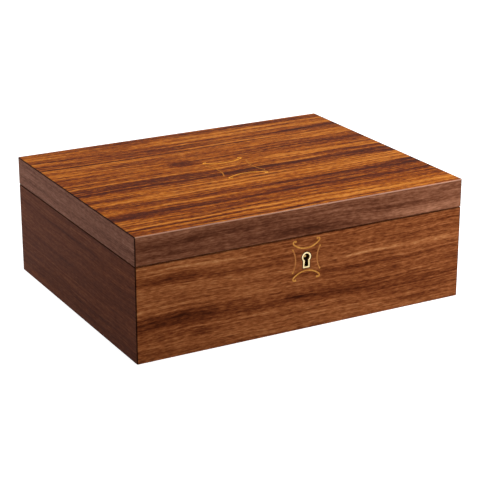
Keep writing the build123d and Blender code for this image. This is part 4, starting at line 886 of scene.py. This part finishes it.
def background_rays(tree):
    """1 for the rays that see the white background: the camera's, and those of gloss and glass."""
    rays = tree.nodes.new("ShaderNodeLightPath").outputs
    either = tree.nodes.new("ShaderNodeMath")
    either.operation = "MAXIMUM"
    tree.links.new(rays["Is Camera Ray"], either.inputs[0])
    tree.links.new(rays["Is Glossy Ray"], either.inputs[1])
    seen = tree.nodes.new("ShaderNodeMath")
    seen.operation = "MAXIMUM"
    tree.links.new(either.outputs[0], seen.inputs[0])
    tree.links.new(rays["Is Transmission Ray"], seen.inputs[1])
    return seen.outputs[0]


def studio_floor():
    """Plain pale floor that keeps the box's shadow."""
    mesh = bmesh.new()
    bmesh.ops.create_grid(mesh, x_segments=2, y_segments=2, size=floor_size / 2)
    data = bpy.data.meshes.new("studio_floor")
    mesh.to_mesh(data)
    mesh.free()
    floor = bpy.data.objects.new("studio_floor", data)
    floor.location.z = cad_low.z
    bpy.context.scene.collection.objects.link(floor)
    finish = Finish("pale_floor")
    diffuse = finish.node("ShaderNodeBsdfDiffuse")
    diffuse.inputs["Color"].default_value = (floor_albedo, floor_albedo, floor_albedo, 1.0)
    glow = finish.node("ShaderNodeEmission")
    finish.feed(glow.inputs["Strength"], finish.times(background_rays(finish.tree), floor_glow))
    both = finish.node("ShaderNodeAddShader")
    finish.feed(both.inputs[0], diffuse.outputs[0])
    finish.feed(both.inputs[1], glow.outputs[0])
    finish.feed(finish.output.inputs["Surface"], both.outputs[0])
    data.materials.append(finish.material)


def studio_sky():
    """White background for the camera, gloss and glass, and a dim even light for the rest."""
    world = bpy.data.worlds.new("studio_sky")
    bpy.context.scene.world = world
    world.use_nodes = True
    tree = world.node_tree
    tree.nodes.clear()
    output = tree.nodes.new("ShaderNodeOutputWorld")
    background = tree.nodes.new("ShaderNodeBackground")
    background.inputs["Color"].default_value = (1.0, 1.0, 1.0, 1.0)
    level = tree.nodes.new("ShaderNodeMapRange")
    level.inputs["To Min"].default_value = sky_light
    level.inputs["To Max"].default_value = 1.0
    tree.links.new(background_rays(tree), level.inputs["Value"])
    tree.links.new(level.outputs["Result"], background.inputs["Strength"])
    tree.links.new(background.outputs[0], output.inputs["Surface"])


def softbox(name, place, target, width, height, power, reflected=True):
    """Soft rectangular lamp that faces a point. A fill lamp isn't seen by gloss or glass."""
    lamp = bpy.data.lights.new(name, "AREA")
    lamp.shape = "RECTANGLE"
    lamp.size = width
    lamp.size_y = height
    lamp.energy = power
    made = bpy.data.objects.new(name, lamp)
    made.location = place
    made.rotation_mode = "QUATERNION"
    made.rotation_quaternion = (Vector(target) - Vector(place)).to_track_quat("-Z", "Y")
    made.visible_glossy = reflected
    made.visible_transmission = reflected
    bpy.context.scene.collection.objects.link(made)


def studio_camera():
    """Camera at the photograph's viewing angle."""
    lens = bpy.data.cameras.new("camera")
    lens.lens = camera_lens
    lens.clip_start = 0.05
    lens.clip_end = 20.0
    made = bpy.data.objects.new("camera", lens)
    back = Vector((
        math.sin(camera_azimuth) * math.cos(camera_elevation),
        -math.cos(camera_azimuth) * math.cos(camera_elevation),
        math.sin(camera_elevation),
    ))
    made.location = camera_place
    made.rotation_mode = "QUATERNION"
    made.rotation_quaternion = (-back).to_track_quat("-Z", "Y")
    bpy.context.scene.collection.objects.link(made)
    bpy.context.scene.camera = made


studio_floor()
studio_sky()
softbox("key_light", (0.45, 0.45, 1.3), (0, 0, 0.1), width=1.3, height=1.2, power=14.0)
softbox(
    "front_light",
    (0.5, -0.56, 0.38),
    (0.08, -0.1, 0.06),
    width=0.62,
    height=0.5,
    power=6.2,
    reflected=False,
)
softbox(
    "side_light",
    (-0.52, 0.42, 0.6),
    (-0.146, 0.1, 0.09),
    width=0.45,
    height=0.4,
    power=2.5,
    reflected=False,
)
studio_camera()
bpy.context.scene.view_settings.view_transform = "Standard"
